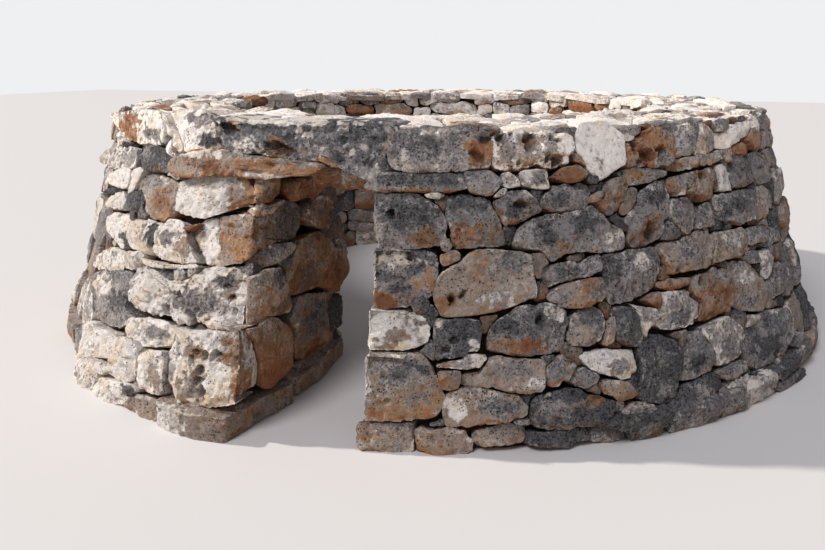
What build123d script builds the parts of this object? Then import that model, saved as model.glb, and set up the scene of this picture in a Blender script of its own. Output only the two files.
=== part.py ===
from build123d import *
from math import asin, degrees, sqrt
import os

# Circular dry stone hut with a battered wall, open above, and one doorway facing -Y.
# Millimetres. The origin is the centre of the ring at ground level, with +Z up.
# Bearings are degrees from -Y, growing towards +X.

# The ring
base_radius = 2600          # outer face at the ground
batter = 450                # how far the outer face leans in over the full height
wall_height = 1400
wall_head_width = 700       # wall thickness at the top
footing_height = 135
head_height = 200           # through course of slabs that closes the wall head
inner_face_depth = 280      # how far the inner face stones reach into the wall
hearting_width = 170        # small rubble between the two faces; the outer face takes the rest
ring_parts = 5

# The doorway: a straight passage along Y, a little to the right of the centre
passage_width = 560
passage_centre = 175

# Stones at the doorway
left_quoin_heights = [285, 305, 220]        # the top quoin takes what is left below the pad
left_quoin_tails = [525, 820, 450, 595]     # length along the outer face, from the passage
left_quoin_bonds = [300, 560, 380, 350]     # how far a quoin reaches back, from the wall head's edge
left_quoin_proud = [40, 15, 0, 0]           # how far it stands into the passage
left_quoin_round = [110, 190, 300, 240]     # size of the weathered outer corner
right_quoin_heights = [295, 190, 250]
right_quoin_tails = [390, 275, 280, 300]
right_quoin_bonds = [500, 300, 480, 350]
right_quoin_proud = [0, 20, 25, 45]
right_quoin_round = [70, 90, 80, 100]
lining_depth = 300          # stones that line the passage behind the quoins
left_pad_thickness = 75
left_pad_landing_length = 645       # on the wall, from the passage
left_pad_overhang_length = 185      # over the passage
right_pad_thickness = 85
right_pad_landing_length = 345
right_pad_overhang_length = 95
lintel_left_landing_length = 455
lintel_right_landing_length = 45
lintel_depth = 350          # from the edge of the wall head back into the wall
lintel_end_slope = 40       # its ends lean out towards the top
lintel_hollow_depth = 45    # worn hollow in its underside
nib_width = 42              # nib that hangs at the right of its underside
nib_drop = 50
inner_lintel_thickness = 115
middle_lintel_depth = 190
middle_lintel_left_length = 235     # lengths beyond the passage on either side
middle_lintel_right_length = 250
inner_lintel_left_length = 205
inner_lintel_right_length = 200
door_cap_left_length = 130
door_cap_right_length = 105

# Worked out from the sizes above
top_radius = base_radius - batter
inner_radius = top_radius - wall_head_width
passage_left = passage_centre - passage_width / 2
passage_right = passage_centre + passage_width / 2
head_base = wall_height - head_height
left_seat = head_base - left_pad_thickness
right_seat = head_base - right_pad_thickness
inner_seat = head_base - inner_lintel_thickness
lintel_back_y = -(top_radius - lintel_depth)
reach = 2 * base_radius     # longer than anything it cuts
split_bearing = degrees(asin(passage_centre / base_radius))


def face_radius(z):
    """Radius of the outer face at a height."""
    return base_radius - batter * z / wall_height


def ring(start, sweep, low, high, inner, outer, inner_top=None, outer_top=None):
    """Part of a ring between two heights. The second pair of radii holds at the upper height."""
    profile = Polyline(
        (inner, 0, low), (outer, 0, low),
        (outer_top or outer, 0, high), (inner_top or inner, 0, high), close=True,
    )
    body = revolve(make_face(profile), axis=Axis.Z, revolution_arc=sweep)
    return Rot(0, 0, start - 90) * body


def block(x_pair, y_pair, z_pair):
    """Box from three pairs of limits, in any order."""
    low = [min(pair) for pair in (x_pair, y_pair, z_pair)]
    high = [max(pair) for pair in (x_pair, y_pair, z_pair)]
    size = [b - a for a, b in zip(low, high)]
    return Pos(*low) * Box(*size, align=(Align.MIN, Align.MIN, Align.MIN))


def beds(heights, seat):
    """Bed heights of a stack of quoins, from the footing to the seat of its pad."""
    levels = [footing_height]
    for height in heights:
        levels.append(levels[-1] + height)
    return levels + [seat]


# The wall's full mass, without the doorway, trims every stone to the batter and the round inner face
wall_mass = ring(0, 360, 0, wall_height, inner_radius, base_radius, inner_radius, top_radius)


def quoin(side, low, high, tail, bond, proud, corner):
    """A corner stone of the jamb, and the square bay that it takes up in the wall.

    side is -1 for the left jamb and 1 for the right one. The outer corner is weathered round.
    """
    face = passage_centre + side * passage_width / 2
    inside = face - side * proud
    end = face + side * tail
    back = -(top_radius - bond)
    corner_y = -sqrt(face_radius(low) ** 2 - face ** 2)
    front = corner_y - corner / 2
    sides = [
        Bezier((inside, corner_y + corner), (inside, front), (face + side * corner, front)),
        Polyline((face + side * corner, front), (end, front), (end, back),
                 (inside, back), (inside, corner_y + corner)),
    ]
    plan = Pos(0, 0, low) * make_face(sides)
    stone = extrude(plan, amount=high - low, dir=(0, 0, 1)) & wall_mass
    bay = block((inside, end), (-reach, back), (low, high))
    return stone, bay


def jamb(side, heights, tails, bonds, prouds, corners, seat):
    """Quoins of one jamb from the bottom up, their bays, and the lining of the passage behind them."""
    levels = beds(heights, seat)
    stones = []
    bays = []
    for low, high, tail, bond, proud, corner in zip(levels, levels[1:], tails, bonds, prouds, corners):
        stone, bay = quoin(side, low, high, tail, bond, proud, corner)
        stones.append(stone)
        bays.append(bay)
    face = passage_centre + side * passage_width / 2
    front = -(top_radius - min(bonds))
    lining = block((face, face + side * lining_depth), (front, 0), (footing_height, inner_seat)) & wall_mass
    for bay in bays:
        lining -= bay
    return stones, bays, lining


left_stones, left_bays, left_lining = jamb(
    -1, left_quoin_heights, left_quoin_tails, left_quoin_bonds, left_quoin_proud, left_quoin_round, left_seat)
right_stones, right_bays, right_lining = jamb(
    1, right_quoin_heights, right_quoin_tails, right_quoin_bonds, right_quoin_proud, right_quoin_round,
    right_seat)

# Thin pads level the quoins and reach out over the passage as corbels
left_pad_end = passage_left + left_pad_overhang_length
left_pad_bay = block((passage_left - left_pad_landing_length, left_pad_end), (-reach, lintel_back_y),
                     (left_seat, head_base))
right_pad_end = passage_right - right_pad_overhang_length
right_pad_bay = block((right_pad_end, passage_right + right_pad_landing_length), (-reach, lintel_back_y),
                      (right_seat, head_base))
left_pad = left_pad_bay & wall_mass
right_pad = right_pad_bay & wall_mass

# The outer lintel is one boulder: its foot follows both pads, with a worn hollow and a hanging nib between
lintel_left = passage_left - lintel_left_landing_length
lintel_right = passage_right + lintel_right_landing_length
nib_right = right_pad_end - nib_width / 3
nib_left = nib_right - nib_width
nib_middle = (nib_left + nib_right) / 2
hollow_middle = (left_pad_end + nib_left) / 2
foot = [
    Line((lintel_left, 0, head_base), (left_pad_end, 0, head_base)),
    ThreePointArc((left_pad_end, 0, head_base), (hollow_middle, 0, head_base + lintel_hollow_depth),
                  (nib_left, 0, head_base)),
    Polyline((nib_left, 0, head_base), (nib_middle, 0, head_base - nib_drop), (nib_right, 0, head_base),
             (lintel_right, 0, head_base)),
]
ends = Polyline(
    (lintel_right, 0, head_base), (lintel_right + lintel_end_slope, 0, wall_height),
    (lintel_left - lintel_end_slope, 0, wall_height), (lintel_left, 0, head_base),
)
straight_foot = Polyline((lintel_left, 0, head_base), (lintel_right, 0, head_base))
lintel_face = Pos(0, lintel_back_y, 0)
outer_lintel = lintel_face * extrude(make_face([*foot, ends]), amount=reach, dir=(0, -1, 0)) & wall_mass
lintel_bay = lintel_face * extrude(make_face([straight_foot, ends]), amount=reach, dir=(0, -1, 0))

# Behind it two slabs carry the rest of the wall over the passage, under one cap slab. The inner edges
# of the slabs are straight and touch the room's round face in front of the passage.
middle_back_y = lintel_back_y + middle_lintel_depth
middle_bay = block((passage_left - middle_lintel_left_length, passage_right + middle_lintel_right_length),
                   (lintel_back_y, middle_back_y), (inner_seat, head_base))
inner_bay = block((passage_left - inner_lintel_left_length, passage_right + inner_lintel_right_length),
                  (middle_back_y, 0), (inner_seat, head_base))
cap_bay = block((passage_left - door_cap_left_length, passage_right + door_cap_right_length),
                (lintel_back_y, 0), (head_base, wall_height))
outside_room = Rot(0, 0, degrees(asin(passage_centre / inner_radius))) * block(
    (-reach, reach), (-reach, -inner_radius), (0, wall_height))
middle_lintel = middle_bay & wall_mass
inner_lintel = inner_bay & outside_room
door_cap = cap_bay & outside_room

passage = block((passage_left, passage_right), (-reach, 0), (0, head_base))
door_bays = left_bays + right_bays + [
    left_pad_bay, right_pad_bay, lintel_bay, middle_bay, inner_bay, cap_bay, left_lining, right_lining, passage]

# The wall's five kinds of course, as profiles of the ring: two faces, the hearting between them,
# the footing under them and the slabs on top
skin_low = face_radius(footing_height)
skin_high = face_radius(head_base)
inner_back = inner_radius + inner_face_depth
outer_back = inner_back + hearting_width
courses = {
    "footing": (0, footing_height, inner_radius, base_radius),
    "outer_face": (footing_height, head_base, outer_back, skin_low, outer_back, skin_high),
    "hearting": (footing_height, head_base, inner_back, outer_back),
    "inner_face": (footing_height, head_base, inner_radius, inner_back),
    "wall_head": (head_base, wall_height, inner_radius, skin_high, inner_radius, top_radius),
}
places = ["right_front", "right_rear", "rear", "left_rear", "left_front"]
sweep = 360 / ring_parts
nodes = {}
for index, place in enumerate(places):
    start = split_bearing + index * sweep
    for course, profile in courses.items():
        segment = ring(start, sweep, *profile)
        if place.endswith("_front"):
            for bay in door_bays:
                segment -= bay
        nodes[f"{course}_{place}"] = segment

for number, stone in enumerate(left_stones, 1):
    nodes[f"left_quoin_{number}"] = stone
for number, stone in enumerate(right_stones, 1):
    nodes[f"right_quoin_{number}"] = stone
nodes["left_passage_lining"] = left_lining
nodes["right_passage_lining"] = right_lining
nodes["left_lintel_pad"] = left_pad
nodes["right_lintel_pad"] = right_pad
nodes["outer_lintel"] = outer_lintel
nodes["middle_lintel"] = middle_lintel
nodes["inner_lintel"] = inner_lintel
nodes["door_cap_slab"] = door_cap

os.makedirs("parts", exist_ok=True)
for name, shape in nodes.items():
    export_step(shape, f"parts/{name}.step")
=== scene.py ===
import bpy
import math
import numpy as np
from functools import partialmethod
from mathutils import Euler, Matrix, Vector


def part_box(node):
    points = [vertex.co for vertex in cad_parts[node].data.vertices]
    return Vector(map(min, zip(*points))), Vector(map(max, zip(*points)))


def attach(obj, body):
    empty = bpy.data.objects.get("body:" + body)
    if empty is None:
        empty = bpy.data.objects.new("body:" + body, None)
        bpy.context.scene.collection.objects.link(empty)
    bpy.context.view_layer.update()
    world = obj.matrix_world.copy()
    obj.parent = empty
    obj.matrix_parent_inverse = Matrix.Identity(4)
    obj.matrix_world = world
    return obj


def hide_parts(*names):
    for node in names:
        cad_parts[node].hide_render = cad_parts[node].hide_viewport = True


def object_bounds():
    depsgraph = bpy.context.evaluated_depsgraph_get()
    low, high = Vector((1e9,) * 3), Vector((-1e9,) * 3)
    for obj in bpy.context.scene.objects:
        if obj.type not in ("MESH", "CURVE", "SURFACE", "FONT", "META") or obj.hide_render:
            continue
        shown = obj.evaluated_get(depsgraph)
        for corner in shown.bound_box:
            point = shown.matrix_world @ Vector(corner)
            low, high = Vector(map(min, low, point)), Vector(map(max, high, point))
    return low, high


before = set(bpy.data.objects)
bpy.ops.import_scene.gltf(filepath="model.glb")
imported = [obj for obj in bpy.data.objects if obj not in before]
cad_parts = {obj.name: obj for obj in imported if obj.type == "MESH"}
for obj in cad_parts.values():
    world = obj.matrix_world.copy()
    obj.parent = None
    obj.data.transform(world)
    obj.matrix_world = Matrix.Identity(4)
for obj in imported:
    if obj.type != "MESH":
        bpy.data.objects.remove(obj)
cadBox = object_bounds()
print("frame loaded:", len(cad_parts), "nodes")

# The ring, in metres, as the frame has it
hut = dict(
    baseRadius=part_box("footing_rear")[1].y,
    wallHeight=cadBox[1].z,
    footingTop=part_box("footing_rear")[1].z,
    headBase=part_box("wall_head_rear")[0].z,
    headRadius=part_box("wall_head_rear")[1].y,  # outer face where the head begins
    headWidth=0.70,
    splitBearing=3.86,  # where the ring's five parts start, in degrees from -Y towards +X
)
hut["lean"] = (hut["baseRadius"] - hut["headRadius"]) / hut["headBase"]
hut["topRadius"] = hut["baseRadius"] - hut["lean"] * hut["wallHeight"]
hut["innerRadius"] = hut["topRadius"] - hut["headWidth"]
hut["crown"], hut["lowest"] = hut["wallHeight"] + 0.045, -0.005  # no stone stands higher or reaches lower
parts = ["right_front", "right_rear", "rear", "left_rear", "left_front"]
partSweep = 360 / len(parts)

# The passage, from the pieces that line it
door = dict(
    left=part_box("left_passage_lining")[1].x,
    right=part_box("right_passage_lining")[0].x,
    soffit=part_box("inner_lintel")[0].z,
    faceRadius=2.3,  # of the outer face about the doorway
    fillRadius=2.4,  # the same for the rubble at its sides
)
takenMark = 10 ** 6  # cells of a face that the doorway takes, or that stay open

photoCamera = dict(
    place=(1.696, -5.219, 1.684),
    pitch=73.77,
    roll=-0.1,
    turn=19.97,
    focal=740.0,  # in pixels, as all that follows
    middle=(412.5, 275.0),
    width=825,
)
cameraAngles = [math.radians(photoCamera[k]) for k in ("pitch", "roll", "turn")]
cameraTurn = np.array(Euler(cameraAngles, "XYZ").to_matrix())
eye = np.array(photoCamera["place"])


def sightRay(px, py):
    across, down = px - photoCamera["middle"][0], py - photoCamera["middle"][1]
    ray = cameraTurn @ np.array((across, -down, -photoCamera["focal"]))
    return ray / np.linalg.norm(ray)


def wallRadius(z):
    return hut["baseRadius"] - hut["lean"] * z


def bearingAt(x, radius):
    return math.degrees(math.asin(x / radius))


hashPrimes = np.array((374761393, 668265263, 1440662683))


def softNoise(points, scale, seed=0):
    # smooth noise from -1 to 1 at points, all worked out from the place and a seed
    q = points * scale + seed * 17.13
    low = np.floor(q).astype(np.int64)
    f = q - low
    f = f * f * (3 - 2 * f)
    total = 0
    for corner in np.ndindex(2, 2, 2):
        h = (((low + corner) * hashPrimes).sum(1) + seed * 974634777) & 0xFFFFFFFF
        h = ((h ^ (h >> 13)) * 1274126177) & 0xFFFFFFFF
        value = ((h ^ (h >> 16)) & 0xFFFF) / 32767.5 - 1
        total = total + value * np.where(corner, f, 1 - f).prod(1)
    return total


def closedLoop(corners, rounding=0.13):
    # a polygon with its corners cut off
    loop = np.array(corners, float)
    after = np.roll(loop, -1, 0)
    cut = [loop * (1 - rounding) + after * rounding, loop * rounding + after * (1 - rounding)]
    return np.stack(cut, 1).reshape(-1, 2)


def hullOf(corners):
    # the convex outline of a set of corners
    ordered = sorted(map(tuple, corners))

    def halfWay(run):
        kept = []
        for x, y in run:
            while len(kept) > 1 and ((kept[-1][0] - kept[-2][0]) * (y - kept[-1][1])
                                     <= (kept[-1][1] - kept[-2][1]) * (x - kept[-1][0])):
                kept.pop()
            kept.append((x, y))
        return kept[:-1]
    return np.array(halfWay(ordered) + halfWay(ordered[::-1]))


def middleOf(loop):
    # middle of a polygon's area
    after = np.roll(loop, -1, 0)
    cross = loop[:, 0] * after[:, 1] - loop[:, 1] * after[:, 0]
    return ((loop + after) * cross[:, None]).sum(0) / (3 * cross.sum())


rayAngles = np.linspace(-math.pi, math.pi, 240, endpoint=False)


def rayTable(loop):
    # how far a loop's edge lies from the origin in each direction
    a, e = loop, np.roll(loop, -1, 0) - loop
    dx, dy = np.cos(rayAngles)[:, None], np.sin(rayAngles)[:, None]
    with np.errstate(divide="ignore", invalid="ignore"):
        cross = dx * e[:, 1] - dy * e[:, 0]
        far = (a[:, 0] * e[:, 1] - a[:, 1] * e[:, 0]) / cross
        share = (a[:, 0] * dy - a[:, 1] * dx) / cross
    hit = (share >= -1e-6) & (share <= 1 + 1e-6) & (far > 0) & np.isfinite(far)
    return np.maximum(np.where(hit, far, 0).max(1), 0.002)


def aroundTable(table, angles):
    turned = (angles + math.pi) / (2 * math.pi) * len(table)
    low = np.floor(turned).astype(int)
    share = turned - low
    return table[low % len(table)] * (1 - share) + table[(low + 1) % len(table)] * share


class Face:
    # turns pixels of the photo into two measures on a face of the hut, and those back into places
    def outline(self, corners):
        spots = np.array([self.spot(*c) for c in corners])
        at = spots.mean(0)
        return at, self.offset(spots, at)

    def offset(self, spots, at):
        return spots - at

    def place(self, at):
        return lambda u, v, w: self.put(at[0] + u, at[1] + v, w)


class OuterFace(Face):
    # the battered wall: arc length from -Y at the height's own radius, and height
    def __init__(self, proud=0.0):
        self.proud = proud  # how far stones at the foot stand out of the wall

    def spot(self, px, py):
        ray = sightRay(px, py)
        a, k = hut["baseRadius"] + self.proud - hut["lean"] * eye[2], -hut["lean"] * ray[2]
        qa = ray[0] ** 2 + ray[1] ** 2 - k * k
        qb = 2 * (eye[0] * ray[0] + eye[1] * ray[1] - a * k)
        qc = eye[0] ** 2 + eye[1] ** 2 - a * a
        root = qb * qb - 4 * qa * qc
        root = max(root, 0.0)  # a line that misses takes the wall's edge
        p = eye + (-qb - math.sqrt(root)) / (2 * qa) * ray
        return math.degrees(math.atan2(p[0], -p[1])), p[2]

    def offset(self, spots, at):
        return np.stack([(spots[:, 0] - at[0]) * wallRadius(at[1]) * math.radians(1),
                         (spots[:, 1] - at[1]) * math.hypot(1, hut["lean"])], 1)

    def place(self, at):
        return outerSkin.place(at[0], at[1], self.proud)


class FrontFace(OuterFace):
    # the same wall for stones that lie square to the passage: x and height
    def spot(self, px, py):
        bearing, z = super().spot(px, py)
        return wallRadius(z) * math.sin(math.radians(bearing)), z

    offset, place = Face.offset, Face.place

    def put(self, x, z, w):
        return np.stack([x, -np.sqrt(np.maximum(wallRadius(z) ** 2 - x ** 2, 1)) - w, z], 1)


class PassageSide(Face):
    # the left side of the passage: distance along Y, and height
    def spot(self, px, py):
        ray = sightRay(px, py)
        p = eye + (door["left"] - eye[0]) / ray[0] * ray
        return p[1], p[2]

    def put(self, y, z, w):
        return np.stack([door["left"] + w, y, z], 1)


class CornerFace(Face):
    # the bent face of one jamb stone: length over passage, worn corner and wall, and height
    def __init__(self, side, proud, corner, level, forward=0.0):
        self.level = level
        face = door["left"] if side < 0 else door["right"]
        inside, radius = face - side * proud, wallRadius(level) + forward
        cornerY = -math.sqrt(radius ** 2 - face ** 2)
        bends = [np.array(p) for p in ((inside, cornerY + corner), (inside, cornerY - corner / 2),
                                       (face + side * corner, cornerY - corner / 2))]
        t = np.linspace(0, 1, 30)[:, None]
        curve = (1 - t) ** 2 * bends[0] + 2 * t * (1 - t) * bends[1] + t ** 2 * bends[2]
        y = np.linspace(-1.4, cornerY + corner, 50)[:-1]
        path = np.concatenate([np.stack([np.full(len(y), inside), y], 1), curve])
        path *= np.minimum(1, radius / np.hypot(*path.T))[:, None]
        start = math.atan2(path[-1, 0], -path[-1, 1])
        arc = start + side * np.linspace(0, math.radians(36), 60)[1:]
        path = np.concatenate([path, radius * np.stack([np.sin(arc), -np.cos(arc)], 1)])
        if side < 0:
            path = path[::-1]  # lengths always grow towards the right as seen from outside
        kernel = np.ones(7) / 7
        ends = np.pad(path, ((3, 3), (0, 0)), "edge")
        path = np.stack([np.convolve(ends[:, k], kernel, "valid") for k in (0, 1)], 1)
        self.length = np.concatenate([[0], np.cumsum(np.hypot(*np.diff(path, axis=0).T))])
        self.path = path
        tangent = np.gradient(path, axis=0)
        tangent /= np.linalg.norm(tangent, axis=1, keepdims=True)
        self.out = np.stack([tangent[:, 1], -tangent[:, 0]], 1)
        radial = path / np.linalg.norm(path, axis=1, keepdims=True)
        self.lean = hut["lean"] * np.clip((self.out * radial).sum(1), 0, 1)[:, None] * radial

    def along(self, s, what):
        return np.stack([np.interp(s, self.length, what[:, k]) for k in (0, 1)], -1)

    def spot(self, px, py):
        # the first part of the bent face that a sight line meets
        back = cameraTurn.T
        q = py - photoCamera["middle"][1]
        z = np.full(len(self.path), self.level)
        for _ in range(2):
            flat = self.path - self.lean * (z - self.level)[:, None]
            a = (np.column_stack([flat, np.zeros(len(flat))]) - eye) @ back.T
            b = back[:, 2]
            z = (photoCamera["focal"] * a[:, 1] - q * a[:, 2]) / (q * b[2] - photoCamera["focal"] * b[1])
        seen = a + z[:, None] * b
        x = photoCamera["middle"][0] - photoCamera["focal"] * seen[:, 0] / seen[:, 2]
        facing = ((eye[:2] - self.path) * self.out).sum(1) > -0.02
        k = int(np.argmin(np.where(facing, abs(x - px), 1e6)))
        return self.length[k], z[k]

    def put(self, s, z, w):
        flat = self.along(s, self.path) + self.along(s, self.out) * w[:, None]
        flat -= self.along(s, self.lean) * (z - self.level)[:, None]
        return np.column_stack([flat, z])


class Skin:
    # a face of the wall shared out among stones, by bearing and a second measure: height or radius
    step = 0.006  # size of a cell in metres

    def __init__(self, kind, low, high):
        self.kind, self.low, self.high = kind, low, high
        self.columns = int(360 * self.perDegree((low + high) / 2) / self.step)
        self.rows = int((high - low) / self.step) + 1
        self.label = np.full((self.rows, self.columns), -1, int)
        self.mirror = -1 if kind in ("inner", "head") else 1  # these are seen from the room's side

    def perDegree(self, s):
        radius = {"outer": wallRadius(s), "footing": hut["baseRadius"],
                  "inner": hut["innerRadius"], "head": s}[self.kind]
        return radius * math.pi / 180

    def pile(self, bearing, s):
        # the piece of the hut that a stone there belongs to
        course = {"footing": "footing_", "head": "wall_head_"}.get(self.kind)
        return pileFor((course or courseOf(s, self.kind + "_face_")) + partOf(bearing))

    def place(self, bearing, s, proud=0.0):
        # a flat plane that touches the skin there, as a rule from measures on it to a place
        b = math.radians(bearing)
        sine, cosine = math.sin(b), math.cos(b)
        radial, along, up = np.array([(sine, -cosine, 0), (cosine, sine, 0), (0, 0, 1)])
        if self.kind == "outer":
            tilt = math.atan(hut["lean"])
            origin = radial * (wallRadius(s) + proud) + up * s
            out = radial * math.cos(tilt) + up * math.sin(tilt)
            up = up * math.cos(tilt) - radial * math.sin(tilt)
        elif self.kind == "footing":
            origin, out = radial * hut["baseRadius"] + up * s, radial
        elif self.kind == "inner":
            origin, along, out = radial * hut["innerRadius"] + up * s, -along, -radial
        else:
            origin, along, up, out = radial * s + up * hut["wallHeight"], -along, radial, up
        return flatPlace(origin, along, up, out)

    def cells(self, bearing, s):
        column = np.floor((np.asarray(bearing) % 360) / 360 * self.columns).astype(int) % self.columns
        row = np.floor((np.asarray(s) - self.low) / self.step).astype(int)
        return row, column

    def around(self, bearing, s, reach):
        # the block of cells within reach of a place, and their offsets from it in metres
        n = int(reach / self.step) + 1
        row, column = self.cells(bearing, s)
        rows = np.arange(max(row - n, 0), min(row + n + 1, self.rows))
        columns = np.arange(column - n * 2, column + n * 2 + 1)
        v = (rows + 0.5) * self.step + self.low - s
        offset = (columns + 0.5) / self.columns * 360 - bearing % 360
        u = ((offset + 180) % 360 - 180) * self.perDegree(s)
        return np.ix_(rows, columns % self.columns), *np.meshgrid(u, v)

    def take(self, first, last, low, high):
        # takes every free cell between two bearings and two heights
        bearing = (np.arange(self.columns) + 0.5) / self.columns * 360
        inside = (bearing - first) % 360 < (last - first) % 360
        s = self.low + (np.arange(self.rows) + 0.5) * self.step
        self.mark(np.ix_((s >= low) & (s < high), inside), True, takenMark)

    def mark(self, area, inside, mark):
        # gives the free cells inside a shape to one stone
        self.label[area] = np.where(inside & (self.label[area] < 0), mark, self.label[area])


def flatPlace(origin, along, up, out):
    axes = np.array([along, up, out], float)

    def put(u, v, w):
        return np.array(origin) + np.stack([u, v, w], 1) @ axes
    return put


looks = dict(  # warmth from grey to tan, rust, lichen, fresh break, brightness
    grey=(0.30, 0.08, 0.52, 0.03, 0.86),
    dark=(0.15, 0.06, 0.92, 0.0, 0.61),
    pale=(0.35, 0.05, 0.25, 0.38, 1.04),
    white=(0.40, 0.04, 0.08, 0.86, 1.04),
    cream=(0.62, 0.12, 0.20, 0.55, 1.0),
    tan=(0.88, 0.24, 0.26, 0.08, 0.92),
    brown=(0.92, 0.56, 0.26, 0.0, 0.74),
    rust=(0.88, 0.84, 0.16, 0.0, 0.80),
    pink=(0.66, 0.36, 0.25, 0.16, 0.90),
    # near-black fill behind the joints, partly painted shade
    soilAndShade=(0.85, 0.35, 0.05, 0.0, 0.15),
    chalk=(0.30, 0.0, 0.0, 0.62, 1.0),
    ochre=(1.0, 0.72, 0.05, 0.04, 1.02),
    crusted=(0.12, 0.04, 0.70, 0.15, 0.88),
)


def pixels(words):
    return [tuple(map(float, word.split(","))) for word in words.split()]


def sketch(look, corners, *notes):
    # one stone of the photo: its look, its corners in pixels, and notes: in words, patches of another look
    # (look, middle, half widths) and holes (middle, radius, depth in metres); or what else is special
    more = dict(patches=[], holes=[])
    for note in notes:
        if isinstance(note, dict):
            more.update(note)
            continue
        for first, *rest in map(str.split, note.split("; ")):
            if first in looks:
                more["patches"].append((first, *pixels(" ".join(rest))))
            else:
                more["holes"].append((*pixels(first), *map(float, rest)))
    return look, pixels(corners), more


def sketches(rows):
    return [sketch(*row) for row in rows]


topStones = sketches([
    ("cream", "119,110 140,109 161,110 166,122 168,131 160,143 140,144 124,139 119,128",
     "rust 128,124 9,16; grey 150,136 9,7"),
    ("white", "161,111 166,114 170,124 176,129 180,137 182,146 180,151 176,153 171,143 168,131"),
    ("cream", "168,111 180,109 203,109 210,113 213,121 216,129 215,140 217,147 196,151 183,151 181,140 "
     "176,128", "grey 198,120 12,8; dark 208,141 7,6"),
    ("grey", "395,129 405,130 424,126 439,125 455,126 473,127 484,129 489,131 493,140 494,152 492,165 "
     "468,169 459,172 422,172 399,170 392,168 386,160 387,152 390,143",
     "rust 479,150 14,17; dark 420,150 22,12; pale 440,131 20,5; 477,155 7 0.03; 486,138 6 0.03"),
    ("pale", "491,133 500,129 524,129 536,130 547,127 560,131 573,135 575,144 572,163 558,168 552,170 "
     "545,168 538,163 532,168 507,170 498,168 492,165 494,147",
     "brown 530,141 12,8; grey 508,150 10,12; white 567,143 6,18; white 512,127 16,3; 502,137 4.5 0.05; "
     "513,132 3 0.03; 552,139 3 0.03; 559,140 4 0.035; 549,157 4 0.035; 557,159 5 0.045; 530,142 9 0.045; "
     "520,162 3 0.02", dict(rough=0.016)),
    ("brown", "574,150 580,152 588,158 590,168 584,163 576,160"),
    ("chalk", "583,121 595,120 608,120 616,124 628,134 629,162 617,170 610,177 601,181 597,177 590,170 "
     "584,159 578,149 577,135", dict(rough=0.003, facets=1, chips=1, weathering=0.0)),
    ("rust", "629,142 635,141 640,134 648,129 655,125 670,126 676,130 677,138 675,149 677,155 672,168 "
     "645,167 630,167 629,150",
     "grey 668,160 7,9; brown 640,163 12,6; 639,146 6 0.05; 649,154 7 0.05; 662,150 6 0.035",
     dict(rough=0.02)),
    ("grey", "620,171 630,167 645,167 660,168 671,170 668,176 660,178 653,182 635,185 627,180",
     "brown 640,176 14,6"),
    ("grey", "677,130 680,124 689,122 703,121 705,130 704,145 698,155 680,157 675,152 677,142",
     "pale 690,128 9,5"),
    ("tan", "705,122 714,125 720,131 721,146 710,154 701,155 700,146 704,136", "grey 712,142 6,8"),
    ("white", "720,130 730,131 734,124 740,121 749,121 751,128 749,136 731,148 722,148 721,142"),
    ("brown", "749,114 756,114 760,121 765,130 764,142 757,149 751,147 748,139 751,127", "white 754,122 5,8"),
    ("pink", "675,161 680,157 697,155 717,152 726,147 727,151 726,158 716,164 690,169 673,169",
     "rust 682,163 8,5"),
])
# the cream and white looks here are partly painted sunlight
leftStones = sketches([
    ("pale", "108,150 117,147 137,145 136,163 131,168 113,170 105,160"),
    ("dark", "140,146 147,142 162,147 168,150 172,160 167,172 150,171 139,169 137,155", "grey 146,152 7,6"),
    ("pale", "162,146 168,136 170,150 177,156 174,160"),
    ("white", "112,172 115,166 131,168 131,180 128,188 112,186 105,180"),
    ("white", "132,170 138,166 142,169 134,186 130,192 126,194"),
    ("tan", "137,182 142,174 150,171 170,178 175,182 172,200 172,215 160,220 150,218 140,210 141,197",
     "brown 158,202 11,12; grey 149,182 8,6"),
    ("dark", "125,196 130,191 138,190 141,196 139,205 132,213 126,208"),
    ("dark", "101,192 110,186 120,188 112,193"),
    ("cream", "105,200 112,194 122,190 124,200 122,209 110,210"),
    ("cream", "105,218 113,211 124,212 128,222 128,234 130,247 115,249 111,238 105,229", "dark 124,240 7,9"),
    ("cream", "132,220 140,219 158,220 155,230 150,243 147,256 141,252 130,248 125,243 126,232 129,225",
     "dark 149,232 6,12"),
    ("cream", "168,218 175,219 182,223 186,233 193,254 197,263 181,264 163,262 154,256 148,249 152,237 "
     "157,227", "tan 182,246 9,14; grey 165,240 8,8"),
    ("rust", "182,226 191,225 200,222 197,225 188,231 182,229"),
    ("cream", "98,252 110,246 120,250 120,262 118,270 97,270 92,264"),
    ("cream", "122,250 139,251 141,255 136,263 131,270 122,268"),
    ("cream", "139,257 148,259 164,264 195,263 197,266 185,268 159,269 150,267 143,263"),
    ("grey", "90,274 99,269 111,269 120,270 130,276 125,283 123,293 121,307 132,318 114,328 102,326 93,316 "
     "90,305 91,294 87,287", "cream 100,284 10,10; dark 112,300 8,12"),
    ("white", "83,320 89,320 93,328 104,330 112,336 106,346 105,354 103,358 86,357 72,358 76,348 80,336"),
    ("cream", "121,326 126,317 140,317 154,318 166,324 170,329 168,338 166,347 140,347 131,342 123,336",
     "grey 152,332 9,6"),
    ("cream", "112,338 121,336 131,341 135,349 135,357 134,369 131,381 121,383 112,381 105,371 106,358 "
     "107,347"),
    ("cream", "137,351 145,348 154,350 162,351 164,362 162,374 162,397 152,396 140,391 134,388 134,368 "
     "137,362", "tan 154,380 7,12"),
    ("cream", "77,357 88,357 91,364 95,370 93,381 88,393 81,397 74,385 75,371"),
    ("cream", "94,362 104,361 112,362 112,371 105,374 99,375 92,368"),
    ("cream", "88,390 95,378 104,377 112,381 121,382 135,385 138,390 131,397 121,404 112,407 100,402 92,400",
     "dark 128,392 8,7"),
])
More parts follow.
